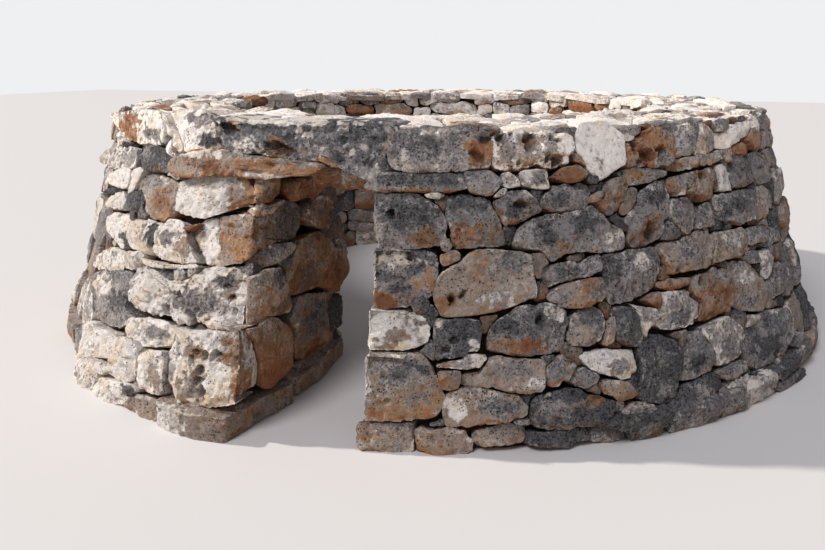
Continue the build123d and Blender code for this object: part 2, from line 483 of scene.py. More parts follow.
# the greyer and darker looks here are partly painted shade
rightStones = sketches([
    ("pale", "423,194 435,191 446,195 440,199 428,198"),
    ("grey", "464,170 477,169 489,168 498,174 503,180 500,187 493,195 486,196 477,194 470,192 466,183 "
     "465,176", dict(rough=0.006)),
    ("pale", "503,172 509,170 515,174 521,180 521,186 508,188 504,185 503,178"),
    ("pale", "494,196 502,188 507,187 509,190 504,196 497,197"),
    ("pale", "520,170 538,168 547,169 550,173 549,180 551,188 540,189 534,187 524,185 521,183",
     "grey 540,180 8,6"),
    ("rust", "551,177 555,174 562,168 571,164 578,163 584,166 590,173 588,177 580,182 569,183 560,180"),
    ("dark", "589,176 598,175 600,180 597,184 589,181"),
    ("grey", "495,200 502,197 509,192 518,188 529,188 535,193 539,199 544,206 545,209 538,214 529,218 "
     "520,225 507,225 503,219 501,214 498,208", "dark 512,212 9,8; pale 530,194 8,4; 523,204 7 0.045"),
    ("grey", "541,202 545,192 551,189 554,183 562,182 573,183 583,180 591,183 595,190 593,194 589,207 "
     "579,209 562,213 551,212 544,208", "dark 560,200 9,8"),
    ("tan", "590,203 593,196 598,191 606,189 605,195 598,201"),
    ("brown", "591,201 599,197 605,186 611,179 621,175 627,179 634,184 630,191 626,201 621,210 612,216 "
     "604,214 597,205", "tan 616,186 9,6; grey 611,208 7,5"),
    ("brown", "670,176 691,172 701,169 714,167 719,171 721,180 720,186 714,195 710,199 700,201 692,195 "
     "685,191 672,192 670,185", "tan 700,186 12,8; grey 682,180 8,6; 700,177 5 0.035; 714,186 4 0.025"),
    ("white", "679,186 684,179 687,176 688,180 685,195 678,195"),
    ("cream", "719,166 726,162 730,169 731,177 735,185 735,190 722,191 721,185 722,177"),
    ("tan", "727,148 735,148 735,161 730,162"),
    ("rust", "735,146 747,140 752,152 746,155 737,154"),
    ("grey", "731,164 735,155 742,154 751,156 756,167 759,180 754,185 744,186 735,186 731,177"),
    ("grey", "751,152 760,150 766,155 770,165 770,180 764,185 759,179 756,167"),
    ("grey", "449,196 455,194 469,194 488,195 493,200 497,210 503,222 507,233 509,243 500,247 489,247 "
     "467,248 454,249 451,240 449,225 445,213", "rust 470,236 16,12; dark 468,204 18,8; brown 490,232 12,12"),
    ("grey", "520,226 532,218 547,214 562,214 580,210 590,205 600,211 612,220 624,227 629,238 628,246 "
     "620,250 580,252 566,257 556,262 548,259 545,252 517,249 513,243 516,233",
     "dark 545,236 14,10; dark 585,224 16,9; pale 610,238 10,8"),
    ("grey", "626,219 633,211 639,202 641,192 648,186 659,180 669,179 672,192 675,203 673,212 668,222 "
     "672,232 665,239 652,246 638,248 630,241 633,228",
     "brown 655,230 13,10; dark 660,196 9,12; 655,230 9 0.045", dict(tilt=8)),
    ("grey", "673,201 675,197 685,196 695,196 699,202 702,209 700,217 697,226 690,235 686,234 673,220 "
     "671,211"),
    ("grey", "700,214 702,204 710,201 715,209 718,215 719,225 710,227 700,229"),
    ("grey", "714,197 717,194 735,191 745,187 754,187 760,197 760,210 757,216 742,225 732,220 722,219 "
     "718,210", "dark 735,205 12,9"),
    ("tan", "760,185 766,184 770,192 770,215 762,221 759,211 761,197"),
    ("pink", "440,242 445,237 450,239 453,246 448,253 441,250"),
    ("brown", "440,255 450,250 457,250 461,255 460,260 444,267 440,262"),
    ("tan", "432,296 434,285 440,274 447,268 460,262 467,254 477,249 490,249 520,250 532,253 533,263 "
     "535,276 538,288 538,297 529,300 515,307 500,312 469,317 453,318 440,317 433,303",
     "pink 490,270 34,18; pale 500,300 24,8; rust 446,303 10,8; grey 515,262 14,9; 452,299 5 0.05; "
     "463,294 4 0.03", dict(rough=0.006)),
    ("grey", "541,272 547,266 560,262 573,261 581,263 592,254 602,252 603,262 604,271 590,277 575,280 "
     "562,284 551,289 545,280", "dark 570,270 12,7"),
    ("tan", "547,296 550,291 569,283 582,280 605,276 609,290 608,299 600,304 585,308 569,309 560,306 "
     "550,302", "rust 591,285 9,7; grey 562,298 9,6"),
    ("grey", "604,255 610,253 627,250 640,249 657,247 662,251 665,262 665,271 661,279 659,287 650,295 "
     "640,300 627,303 611,304 608,295 606,275 602,265", "dark 614,276 10,22; pale 642,262 12,8"),
    ("tan", "662,247 670,241 680,239 685,237 694,232 701,230 710,229 716,237 714,245 712,256 711,268 "
     "702,268 685,272 677,275 671,275 670,267 666,259", "grey 690,252 16,12"),
    ("tan", "715,246 716,232 727,230 745,227 749,231 753,247 749,254 740,257 731,259 722,262 714,265 "
     "713,256", "pale 732,240 12,9"),
    ("grey", "747,229 759,225 770,226 771,239 765,241 754,245 751,236"),
    ("grey", "771,225 782,230 784,239 774,244"),
    ("rust", "660,287 661,281 670,279 682,277 695,277 696,281 690,285 680,289 670,290"),
    ("dark", "409,303 412,298 424,296 430,302 429,311 422,315 414,313"),
    ("dark", "433,320 437,318 455,320 473,318 482,320 484,328 481,337 481,350 475,352 468,351 466,358 "
     "452,359 435,361 433,350", "pale 439,326 6,7; cream 474,344 8,8; 455,340 5 0.03; 446,350 4 0.02",
     dict(rough=0.016)),
    ("grey", "487,336 489,330 500,317 511,312 520,306 540,303 547,302 560,306 568,312 571,319 570,329 "
     "568,339 565,348 555,354 523,357 495,352 488,349",
     "rust 520,346 30,8; pale 556,312 11,7; dark 510,326 13,9; 540,320 4 0.03"),
    ("grey", "572,318 580,309 590,305 598,306 606,310 609,320 608,332 604,341 598,347 585,348 573,346 "
     "569,338 573,328", "tan 588,336 12,9"),
    ("tan", "611,317 616,316 617,331 616,341 606,347 609,331"),
    ("dark", "613,314 616,306 624,305 632,308 640,311 643,325 645,340 641,347 634,348 619,340 616,328"),
    ("pale", "631,302 640,305 650,307 657,309 660,312 660,320 656,327 650,329 649,337 646,339 644,325 "
     "640,312"),
    ("rust", "659,291 660,295 662,305 660,309 652,305 646,300"),
    ("pale", "661,294 663,292 675,290 689,289 694,292 697,299 702,302 702,312 701,321 695,326 687,330 "
     "677,331 667,330 660,325 660,312 662,305", "grey 682,318 14,9"),
    ("brown", "694,285 697,275 709,271 715,266 722,267 730,271 732,280 734,290 734,300 731,310 721,317 "
     "712,321 702,321 701,312 704,305 702,300 696,294",
     "rust 712,296 10,9; grey 722,276 8,7; 703,280 4.5 0.04"),
    ("tan", "730,267 731,261 737,260 746,260 757,264 765,275 770,280 772,287 774,295 773,302 771,310 "
     "765,311 745,310 735,302 734,295 736,287 732,279", "pale 748,276 12,9; grey 756,300 12,7"),
    ("grey", "745,256 752,250 759,250 764,261 756,264 749,261"),
    ("pale", "761,250 770,247 775,250 775,266 772,280 766,275 765,266 762,257"),
    ("grey", "775,262 785,261 789,266 789,281 785,295 777,300 774,295 772,280"),
    ("brown", "436,371 461,371 462,380 458,390 448,392 440,390"),
    ("pale", "435,365 449,361 463,360 467,354 487,354 489,359 480,369 466,370 450,369 436,369",
     "pink 450,365 12,4"),
    ("tan", "460,379 467,373 481,373 488,365 492,358 500,356 521,359 544,359 546,366 545,388 540,391 "
     "523,395 508,393 490,389 462,387", "grey 515,372 20,9; pale 535,384 12,6"),
    ("pink", "546,372 550,365 560,356 564,354 570,360 579,365 577,369 570,379 562,384 560,388 552,389 "
     "547,386", "grey 560,370 9,8"),
    ("cream", "580,355 597,351 610,349 632,350 636,350 639,357 640,365 639,372 632,379 622,380 612,377 "
     "602,375 592,370 582,360", "grey 622,366 12,6"),
    ("grey", "570,379 577,371 585,367 592,370 602,376 600,384 587,390 575,386 568,382"),
    ("brown", "601,382 610,380 624,381 635,387 638,394 634,399 620,402 612,396 604,394"),
    ("dark", "641,350 643,340 650,333 661,334 677,339 686,341 687,350 686,367 683,379 683,390 681,399 "
     "669,405 657,404 641,400 641,390 643,380 645,365 642,357", "grey 664,358 16,12; grey 670,390 10,10"),
    ("grey", "689,347 691,336 700,329 706,337 714,344 720,353 720,360 717,370 709,374 693,381 686,383 "
     "687,367", "dark 700,362 9,9"),
    ("pale", "706,334 703,327 714,321 726,316 734,317 744,327 749,333 749,346 746,356 736,363 729,367 "
     "721,367 720,353 714,344", "grey 734,346 10,11"),
    ("grey", "749,333 750,327 757,321 766,313 777,309 787,306 791,319 793,331 790,346 784,356 771,366 "
     "760,369 753,367 750,360 748,346", "dark 770,345 12,12"),
    ("grey", "777,360 790,350 800,347 804,357 804,367 793,373 787,374"),
    ("grey", "791,331 803,331 807,339 809,349 797,347 790,344"),
    ("pale", "747,326 751,320 759,313 762,319 757,324 750,327"),
    ("tan", "444,396 452,391 462,388 477,388 508,394 520,396 530,405 530,414 524,419 500,424 466,428 "
     "449,428 444,425", "cream 457,410 11,13; grey 500,408 20,10"),
    ("grey", "512,422 525,420 530,419 531,425 519,426"),
    ("dark", "531,417 532,402 541,395 560,390 575,387 587,392 606,397 617,399 617,407 611,420 605,425 "
     "587,427 550,432 535,427", "grey 555,412 16,10; brown 590,402 14,7"),
    ("tan", "621,424 624,414 633,404 641,401 656,405 661,411 670,424 669,429 661,430 647,436 633,437 "
     "626,430", "grey 645,414 13,8"),
    ("dark", "666,409 674,401 684,396 686,387 700,381 713,371 721,373 726,380 727,390 726,403 721,410 "
     "714,416 700,419 689,423 677,429 670,423", "grey 705,395 14,12"),
    ("grey", "721,371 729,369 737,363 747,359 750,364 747,371 740,374 733,379 726,380"),
    ("pale", "729,390 733,381 740,376 749,374 757,377 760,381 759,393 754,403 751,410 737,411 730,401",
     "grey 744,398 9,9"),
    ("dark", "753,371 764,370 780,361 786,373 791,381 791,393 784,401 771,401 761,396 760,381"),
    ("dark", "793,374 804,367 811,370 811,384 806,391 794,393"),
])
footingStones = sketches([
    ("tan", "121,404 132,393 140,396 147,397 159,403 171,408 181,412 181,427 166,430 140,423 131,412"),
    ("tan", "357,422 366,423 375,425 388,427 410,427 415,428 414,435 413,440 414,454 399,457 377,454 "
     "356,450", "brown 365,436 10,9"),
    ("tan", "415,430 422,427 433,430 449,428 466,430 468,438 473,440 473,454 444,458 417,455 415,444",
     "pink 440,440 16,8"),
    ("pink", "473,431 488,428 499,425 506,422 514,425 527,428 528,435 525,444 512,446 500,447 480,449 "
     "473,444"),
    ("dark", "528,430 545,432 575,429 590,428 591,440 570,446 545,449 528,446"),
    ("grey", "591,428 606,426 618,424 626,431 630,438 612,443 592,443"),
])
# the brown and ochre patches where these quoins' corners turn into the passage are partly painted shade
leftQuoins = sketches([
    ("cream", "167,329 171,338 164,354 162,368 161,381 165,391 171,407 177,410 200,411 220,412 230,408 "
     "245,400 258,391 265,388 267,383 266,360 257,335 248,328 206,333 190,334 178,333",
     "pink 190,388 20,20; brown 240,354 18,26; ochre 240,388 20,20; white 206,350 14,5; brown 196,354 6,8; "
     "white 212,384 14,22; 205,357 4 0.05; 211,357 4 0.06; 217,356 4 0.05; 190,360 4 0.04; 195,352 3 0.04; "
     "197,371 4 0.025; 195,382 4 0.03; 196,393 4 0.025; 252,357 3 0.03; 233,361 3 0.02",
     dict(rough=0.016, facets=10)),
    ("cream", "126,284 131,272 141,267 148,283 165,283 181,281 192,274 201,268 216,269 232,271 242,277 "
     "246,300 249,321 243,328 210,330 195,322 183,329 165,318 148,315 134,312 125,302 123,293",
     "white 140,292 16,20; grey 196,302 26,14; brown 228,292 8,20; dark 222,282 9,7; white 241,298 8,26; "
     "163,310 6 0.05; 190,322 6 0.05; 205,308 4 0.03; 178,296 4 0.03; 222,288 3 0.03; 228,300 3 0.03; "
     "230,314 3 0.03", dict(rough=0.026)),
    ("tan", "190,230 200,221 230,217 245,215 270,216 280,203 300,200 310,207 308,228 303,240 280,243 "
     "262,252 245,262 232,266 215,268 201,268 195,257 191,246 187,236",
     "white 203,244 15,26; ochre 248,244 32,26; brown 250,234 22,7; brown 272,234 14,12; grey 296,222 15,20"),
    ("white", "176,182 190,177 215,173 240,176 250,181 254,190 255,200 252,205 240,210 225,214 200,219 "
     "172,215 173,195", "ochre 243,194 16,22; tan 236,190 9,10", dict(rough=0.012, facets=14)),
])
# the white and pale strips down the left edges of these quoins are painted sunlight on those edges
rightQuoins = sketches([
    ("tan", "358,388 360,366 364,358 372,355 400,356 421,355 432,363 437,371 440,391 444,398 443,418 "
     "430,424 386,426 366,422 357,419 356,404", "grey 400,372 34,14; white 364,378 12,26; "
     "pale 362,406 7,10; ochre 396,418 36,5; dark 424,372 5,5; pink 412,398 20,10; dark 396,376 4,4; "
     "dark 409,366 4,3; 388,403 3 0.012"),
    ("cream", "360,340 361,333 364,325 368,315 373,310 388,312 397,315 408,319 427,317 429,328 429,339 "
     "422,349 413,352 399,354 377,353 364,345", "white 370,328 9,14; pink 399,337 10,4; rust 376,340 6,3; "
     "white 404,322 12,4; grey 420,325 7,5; ochre 388,349 12,2", dict(rough=0.018, facets=10)),
    ("grey", "366,258 371,252 385,250 400,251 430,252 438,256 439,275 436,290 431,300 420,303 405,310 "
     "385,311 369,310 365,302 364,285 363,270", "ochre 420,284 20,16; white 370,272 9,24; "
     "cream 396,262 26,8; dark 384,278 9,6; dark 412,272 14,7; dark 398,290 14,5; rust 386,302 22,8",
     dict(rough=0.016, facets=9)),
    ("grey", "367,220 369,202 380,200 396,198 408,193 417,194 426,199 439,205 444,214 448,220 447,235 "
     "445,245 430,250 400,249 370,250 368,240",
     "dark 412,216 26,14; pale 371,226 5,22; brown 424,238 18,9; 391,214 5 0.04"),
])
passageStones = sketches([
    ("ochre", "253,180 270,174 285,172 289,180 288,190 283,197 272,203 256,205 255,190",
     "brown 268,196 12,8", dict(bend=3)),
    ("ochre", "297,183 300,178 310,176 320,170 328,172 327,190 325,196 312,198 303,201 298,203 296,190"),
    ("tan", "245,212 250,207 270,205 285,199 288,201 278,207 275,213 260,218 247,214", dict(bend=2)),
    ("pink", "314,205 320,196 332,194 338,200 340,215 342,228 340,232 325,230 312,225 311,212",
     "ochre 326,214 11,14"),
    ("grey", "234,266 245,262 262,253 275,245 300,241 300,250 290,259 275,266 258,272 243,277",
     "tan 256,266 20,8", dict(bend=2, rough=0.008)),
    ("dark", "280,262 290,257 298,258 297,266 293,272"),
    ("rust", "303,240 310,235 320,231 330,236 335,246 345,252 350,260 349,270 343,280 337,290 330,290 "
     "320,286 312,290 300,296 294,296 292,285 291,272 297,258",
     "brown 310,278 12,14; ochre 340,270 7,18; ochre 318,236 12,5", dict(rough=0.008)),
    ("grey", "335,240 345,237 349,244 349,258 347,262 340,250"),
    ("tan", "246,281 260,276 275,268 287,267 289,275 293,285 293,298 295,305 292,312 282,316 270,318 "
     "262,327 251,329 249,310 247,295", "grey 284,278 8,8; brown 285,306 9,9", dict(bend=1, rough=0.008)),
    ("brown", "296,310 300,297 315,294 330,293 340,291 345,297 345,320 343,335 340,345 320,355 300,362 "
     "298,345 297,330 293,320", "grey 318,318 18,18"),
    ("rust", "250,330 262,328 272,318 285,317 293,325 297,340 298,355 295,370 287,378 278,392 268,391 "
     "265,382 266,362 262,345", "ochre 270,340 12,14", dict(bend=0, rough=0.006)),
    ("pink", "297,363 340,350 340,390 298,390"),
])
lintelStone = sketch("crusted", "213,116 229,118 249,120 289,121 317,121 346,122 374,121 389,125 395,128 "
                     "391,135 389,142 386,152 379,160 377,166 379,172 374,179 366,182 359,180 353,173 "
                     "345,168 331,168 321,163 311,163 302,166 291,168 289,159 264,158 258,154 248,154 "
                     "234,156 224,150 219,140 217,128",
                     "white 216,130 6,16; pale 244,143 17,11; white 236,120 16,4; brown 229,128 9,8; "
                     "tan 386,145 6,18; brown 277,148 12,11; rust 283,152 8,7; ochre 324,161 12,4; "
                     "pale 368,176 9,5; white 300,123 60,2; dark 270,128 7,4; dark 289,139 5,5; "
                     "dark 304,130 8,5; dark 316,144 9,5; dark 329,127 5,5; dark 348,137 7,7; "
                     "dark 365,130 7,5; dark 374,138 6,6; dark 335,157 8,6; dark 362,163 7,5; "
                     "pale 296,133 5,6; white 283,124 4,3; pale 307,136 5,4; pale 320,149 6,3; "
                     "white 349,153 4,5; pale 359,148 5,5; pale 342,128 5,3; white 261,146 3,4; "
                     "tan 296,150 8,5; pale 382,127 5,4; 229,129 9 0.05; 277,149 11 0.045; 340,140 5 0.02")
padStones = sketches([
    ("tan", "170,166 174,159 186,153 204,149 222,150 242,154 266,157 292,159 318,161 325,167 318,174 "
     "292,176 264,178 240,177 216,176 194,177 177,175",
     "ochre 250,170 80,12; rust 216,166 34,6; rust 262,163 28,4; rust 308,170 18,4; white 200,152 30,4; "
     "cream 262,174 22,2"),
    ("grey", "378,173 399,172 424,174 455,174 460,174 464,180 468,190 449,193 426,192 399,192 380,193 "
     "368,193 362,185 369,180", "dark 400,180 24,6; dark 445,180 16,6; rust 410,191 46,3"),
])


class Pile:
    # stones that will be one piece of the hut
    def __init__(self, name):
        self.name, self.points, self.quads, self.caps, self.facts, self.count = name, [], [], [], [], 0

    def add(self, points, quads, facts, cap=None):
        self.points.append(points)
        self.quads.append(quads + self.count)
        if cap is not None:
            self.caps.append(cap + self.count)
        self.facts.append(facts)
        self.count += len(points)


piles = {}


def pileFor(name):
    return piles.setdefault(name, Pile(name))


def partOf(bearing):
    return parts[int(((bearing - hut["splitBearing"]) % 360) // partSweep)]


def courseOf(z, middle):
    if z < hut["footingTop"]:
        return "footing_"
    return "wall_head_" if z > hut["headBase"] else middle


stoneForm = dict(
    fullSize=0.22,  # smaller ones are worn and chipped less
    depth=None, mostDepth=0.22, cell=0.026, sideCell=0.06, mostCells=110,
    edge=0.012, bulge=0.010, taper=0.14, rough=0.014, joint=0.006, sideRough=False,
    chips=7, chipBite=(0.005, 0.028), facets=6, facetBite=(0.010, 0.042),
    uneven=0.014, lean=0.024, tilt=5.0, proud=0.0, weathering=0.2, shade=1.0, patches=(), holes=(),
)
photoForm = dict(cell=0.0088, sideCell=0.032, joint=0.0)  # finer, and close to its neighbours
grids = {}


def squareGrid(nu, nv):
    # a grid over a square, its distance from the middle, its quads and its rim in order
    if (nu, nv) not in grids:
        a, b = np.meshgrid(np.linspace(-1, 1, nu + 1), np.linspace(-1, 1, nv + 1))
        k = np.arange((nu + 1) * (nv + 1)).reshape(nv + 1, nu + 1)
        quads = np.stack([k[:-1, :-1], k[:-1, 1:], k[1:, 1:], k[1:, :-1]], -1).reshape(-1, 4)
        rim = np.concatenate([k[0, :-1], k[:-1, -1], k[-1, :0:-1], k[:0:-1, 0]])
        grids[nu, nv] = (a.ravel(), b.ravel(), quads, rim)
    return grids[nu, nv]


def factsOf(look, rng):
    warmth, rust, lichen, fresh, bright = looks[look]
    spread = rng.normal(0, 1, 4) * (0.07, 0.05, 0.06, 0.04)
    mixed = np.clip(np.array((warmth, rust, lichen, fresh)) + spread, 0, 1)
    return np.append(mixed, bright * rng.uniform(0.93, 1.07))


def stoneFront(loop, half, scale, form, rng):
    # the worn and rounded front, how far its points lie inside the outline and how wide the worn edge is
    # there, then its quads and its rim
    table = np.maximum(rayTable(loop) - form["joint"] / 2, 0.004)
    edge = min(form["edge"] * (0.35 + 0.65 * scale), half.min() * 0.5)
    nu, nv = (int(np.clip(round(2 * h / form["cell"]), 4, form["mostCells"])) for h in half)
    a, b, quads, rim = squareGrid(nu, nv)
    m = np.maximum(abs(a), abs(b))
    angle = np.arctan2(b * half[1], a * half[0])
    slope = (np.roll(table, -1) - np.roll(table, 1)) / (2 * (rayAngles[1] - rayAngles[0]))
    squarely = table / np.hypot(table, slope)
    radius = aroundTable(table, angle)
    inset = (1 - m) * radius * aroundTable(squarely, angle)
    phase = rng.uniform(0, 6.28, 4)
    edge = edge * np.clip(1 + 0.3 * sum(np.sin((k + 2) * angle + phase[k]) for k in range(4)), 0.3, 2.2)
    drop = np.where(inset < edge, edge - np.sqrt(np.maximum(edge ** 2 - (edge - inset) ** 2, 0)), 0)
    w = form["bulge"] * (1 - m ** 2) - drop
    front = np.stack([m * radius * np.cos(angle), m * radius * np.sin(angle), w], 1)
    return front, inset, edge, quads, rim


def stoneSides(front, edge, rim, depth, form, rng):
    # rows of points from the rim of the front to the back, the quads between them and the last row
    rows = max(2, int(round(depth / form["sideCell"])))
    layers, sides, before = [front], [], rim
    wave = rng.normal(0, 0.04, 2)
    for j in range(rows):
        s = (j + 1) / rows
        layer = front[rim] * (1 - form["taper"] * s ** 1.3)
        layer[:, :2] += wave * s * depth
        layer[:, 2] = -edge[rim] - s * (depth - edge[rim])
        layers.append(layer)
        now = len(front) + j * len(rim) + np.arange(len(rim))
        sides.append(np.stack([before, now, np.roll(now, -1), np.roll(before, -1)], 1))
        before = now
    return np.concatenate(layers), sides, before


def breakFace(points, loop, scale, form, rng):
    # planes that break the face into flats and knock off corners
    flats = form["facets"]
    for k in range(form["chips"] + flats):
        turn = rng.uniform(0, 2 * math.pi)
        aim = np.array((math.cos(turn), math.sin(turn), 0.0))
        far = float((loop @ aim[:2]).max())  # how far the outline reaches that way
        if k < flats:
            bite = min(rng.uniform(*form["facetBite"]) * scale * (6 / max(flats, 6)) ** 0.4, far * 0.28)
            start = far * rng.uniform(-0.1, 0.6)
            lean = math.atan(bite / (far - start))
        else:
            bite = min(rng.uniform(*form["chipBite"]) * scale, far * 0.3)
            start, lean = far - bite, math.radians(rng.uniform(30, 60))
        normal = aim * math.sin(lean) + np.array((0.0, 0.0, math.cos(lean)))
        over = np.maximum((points - aim * start) @ normal - rng.uniform(-0.003, 0.003), 0)
        points = points - over[:, None] * normal * 0.96
    return points


def colourStone(points, look, half, form, rng):
    facts = np.empty((len(points), 8))
    facts[:, :5] = factsOf(look, rng)
    # scales the stone's brightness: painted shade where it darkens the pins and footing blocks, painted light
    # where it brightens the passage stones and the middle lintel, and plain tone elsewhere
    facts[:, 4] *= form["shade"]
    facts[:, 5] = rng.uniform(0, 1)
    # lichen gathers towards the top of a stone, and rust stays under it
    upward = points[:, 1] / half[1] * form["weathering"]
    facts[:, 2] += upward
    facts[:, 1] -= upward * 1.2
    facts[:, 0] -= upward * 0.8
    return facts


def markStone(points, facts, flat, wander, form, rng):
    # patches of another look, and worn holes, at their places on the face
    for patchLook, pu, pv, ru, rv in form["patches"]:
        near = 1 - np.hypot((flat[:, 0] - pu) / ru, (flat[:, 1] - pv) / rv) + wander
        share = np.clip(near * 3.2, 0, 1)[:, None]
        facts[:, :5] = facts[:, :5] * (1 - share) + factsOf(patchLook, rng) * share
    for hu, hv, reach, deep in form["holes"]:
        turn, longer = rng.uniform(0, math.pi), rng.uniform(1.0, 1.45)
        along = (flat[:, 0] - hu) * math.cos(turn) + (flat[:, 1] - hv) * math.sin(turn)
        across = (flat[:, 1] - hv) * math.cos(turn) - (flat[:, 0] - hu) * math.sin(turn)
        d = np.hypot(along / longer, across * longer) / reach * (1 + wander * 0.5)
        points[:, 2] -= deep * np.clip(1 - d ** 4, 0, 1) * (points[:, 2] > -0.08)
        # the inside of each hole is darkened: painted shade
        facts[:, 4] *= 1 - 0.55 * np.clip((0.95 - d) * 3, 0, 1)


def layStone(pile, place, loop, look, seed, **given):
    # one stone: an outline on a face, with a worn and rounded front, rough sides and a plain back
    rng = np.random.default_rng(seed)
    form = {**stoneForm, **given}
    centre = middleOf(loop)
    loop = loop - centre
    half = np.ptp(loop, axis=0) / 2
    size = 2 * math.sqrt(half[0] * half[1])
    scale = min(1.0, size / form["fullSize"])
    depth = form["depth"] or min(form["mostDepth"], size * 1.1)
    front, inset, edge, quads, rim = stoneFront(loop, half, scale, form, rng)
    points, sides, back = stoneSides(front, edge, rim, depth, form, rng)
    points = breakFace(points, loop, scale, form, rng)
    facts = colourStone(points, look, half, form, rng)
    # its rims are painted pale in patches: a painted highlight along the edges
    paintedRimHighlight = np.clip(1 - inset / (edge * 3.5), 0, 1) * (softNoise(front + seed, 16, 7) > 0.1)
    facts[:len(front), 3] += 0.35 * paintedRimHighlight
    flat = points[:, :2] + centre
    wander = softNoise(points + seed, 24, 5) * 0.5 + softNoise(points + seed, 62, 6) * 0.5
    markStone(points, facts, flat, wander, form, rng)
    # a slight lean of the face, the other way for each stone
    most = min(math.tan(math.radians(form["tilt"])), form["lean"] / half.max())
    proud = form["proud"] + rng.uniform(-1, 1) * form["uneven"]
    lean = rng.uniform(-most, most, 2)
    points[:, 2] += points[:, 0] * lean[0] + points[:, 1] * lean[1] + proud
    facts[:, 6] = form["rough"] * scale
    facts[:, 7] = 0 if form["sideRough"] else np.clip(-points[:, 2] / max(depth, 0.05), 0, 1)
    pile.add(place(points[:, 0] + centre[0], points[:, 1] + centre[1], points[:, 2]),
             np.concatenate([quads, *sides]), facts, back)


def layPhotoStone(pile, face, stone, seed, **more):
    # a stone whose outline, patches and holes are given in pixels of the photo
    look, corners, special = stone
    special = {**photoForm, **special, **more}
    at, loop = face.outline(corners)
    beyond = special.pop("beyond", None)  # corners that the photo hides, in metres on the face
    if beyond:
        loop = hullOf(np.concatenate([loop, np.array(beyond) - at]))

    def reach(spot, dx, dy):
        ends = np.array([face.spot(spot[0] + k * dx, spot[1] + k * dy) for k in (-0.5, 0.5)])
        return np.hypot(*np.diff(face.offset(ends, at), axis=0)[0])

    def onFace(spot):
        return face.offset(np.array([face.spot(*spot)]), at)[0]

    blur = 0.004  # added to the half widths of a patch
    special["patches"] = [
        (patchLook, *onFace(spot), reach(spot, wide, 0) + blur, reach(spot, 0, tall) + blur)
        for patchLook, spot, (wide, tall) in special["patches"]]
    special["holes"] = [(*onFace(spot), reach(spot, 0, size), deep) for spot, size, deep in special["holes"]]
    layStone(pile, face.place(at), closedLoop(loop), look, seed, **special)


def markLoop(skin, bearing, s, loop, mark):
    # takes the free cells inside a loop, given in metres from a place
    centre = middleOf(loop)
    table = rayTable(loop - centre)
    area, u, v = skin.around(bearing, s, np.hypot(*loop.T).max() + 0.02)
    u, v = u - centre[0], v - centre[1]
    skin.mark(area, np.hypot(u, v) < aroundTable(table, np.arctan2(v, u)), mark)


def outlineOf(skin, bearing, s, mark, reach, count=56):
    # walks out from a place in all directions until the cells are another's
    angle = np.linspace(-math.pi, math.pi, count, endpoint=False)
    walk = np.arange(0, reach, skin.step / 2)
    u, v = np.outer(np.cos(angle), walk), np.outer(np.sin(angle), walk)
    row, column = skin.cells(bearing + u / skin.perDegree(s), s + v)
    held = (row >= 0) & (row < skin.rows)
    held &= skin.label[np.clip(row, 0, skin.rows - 1), column] == mark
    radius = walk[np.argmin(np.concatenate([held, np.zeros((count, 1), bool)], 1), 1).clip(1, len(walk) - 1)]
    radius = (np.roll(radius, 1) + 2 * radius + np.roll(radius, -1)) / 4
    return np.stack([radius * np.cos(angle), radius * np.sin(angle)], 1)


def coursedPlaces(start, sweep, low, high, heights, widths, skin):
    # rough courses of stones: middle, half sizes and tilt of each
    found = []
    beds = [low]
    while beds[-1] < high - 0.06:
        beds.append(min(high, beds[-1] + heights[(len(beds) - 1) % len(heights)] * rng.uniform(0.9, 1.1)))
    beds[-1] = high
    phase = rng.uniform(0, 6.28, (len(beds), 3))

    def bed(k, bearing):
        if k in (0, len(beds) - 1):
            return beds[k]
        b = math.radians(bearing)
        return beds[k] + 0.018 * (math.sin(5 * b + phase[k, 0]) + math.sin(13 * b + phase[k, 1])) \
            + 0.012 * math.sin(29 * b + phase[k, 2])

    for k in range(len(beds) - 1):
        bearing = start + rng.uniform(0, 3)
        while bearing < start + sweep:
            width = float(np.clip(rng.lognormal(math.log(widths[0]), 0.34), widths[1], widths[2]))
            step = width / skin.perDegree((beds[k] + beds[k + 1]) / 2)
            middle = bearing + step / 2
            floor, top = bed(k, middle), bed(k + 1, middle)
            if rng.random() < 0.18 and top - floor > 0.13:
                cut = floor + (top - floor) * rng.uniform(0.35, 0.65)
                found.append((middle, (floor + cut) / 2, width / 2, (cut - floor) / 2, rng.uniform(-5, 5)))
                floor = cut
            found.append((middle, (floor + top) / 2, width / 2, (top - floor) / 2, rng.uniform(-7, 7)))
            bearing += step
    return found


def wandering(skin, seed):
    # how far the joints stray at each cell of a skin
    row, column = np.mgrid[0:skin.rows, 0:skin.columns]
    turn = column / skin.columns * 2 * math.pi
    radius = skin.columns * skin.step / (2 * math.pi)
    spots = np.stack([np.sin(turn) * radius, np.cos(turn) * radius, row * skin.step], -1).reshape(-1, 3)
    stray = 0.026 * softNoise(spots, 6, seed) + 0.013 * softNoise(spots, 17, seed + 1)
    return stray.reshape(row.shape)


def shareOut(skin, places, firstMark):
    # gives each free cell to the stone that it is nearest to by the stone's own size
    power, limit = 4.5, 1.2  # how square the stones are, and how far past their size they reach
    sideways, upwards = wandering(skin, firstMark + 11), wandering(skin, firstMark + 21)
    best = np.full(skin.label.shape, limit)
    free = skin.label < 0
    for mark, (bearing, s, halfWide, halfTall, tilt) in enumerate(places, firstMark):
        area, u, v = skin.around(bearing, s, max(halfWide, halfTall) * 1.4 + 0.02)
        u, v = u + sideways[area], v + upwards[area]
        c, d = math.cos(math.radians(tilt)), math.sin(math.radians(tilt))
        q = abs((u * c + v * d) / halfWide) ** power + abs((v * c - u * d) / halfTall) ** power
        q = q ** (1 / power)
        near = (q < best[area]) & free[area]
        best[area] = np.where(near, q, best[area])
        skin.label[area] = np.where(near, mark, skin.label[area])


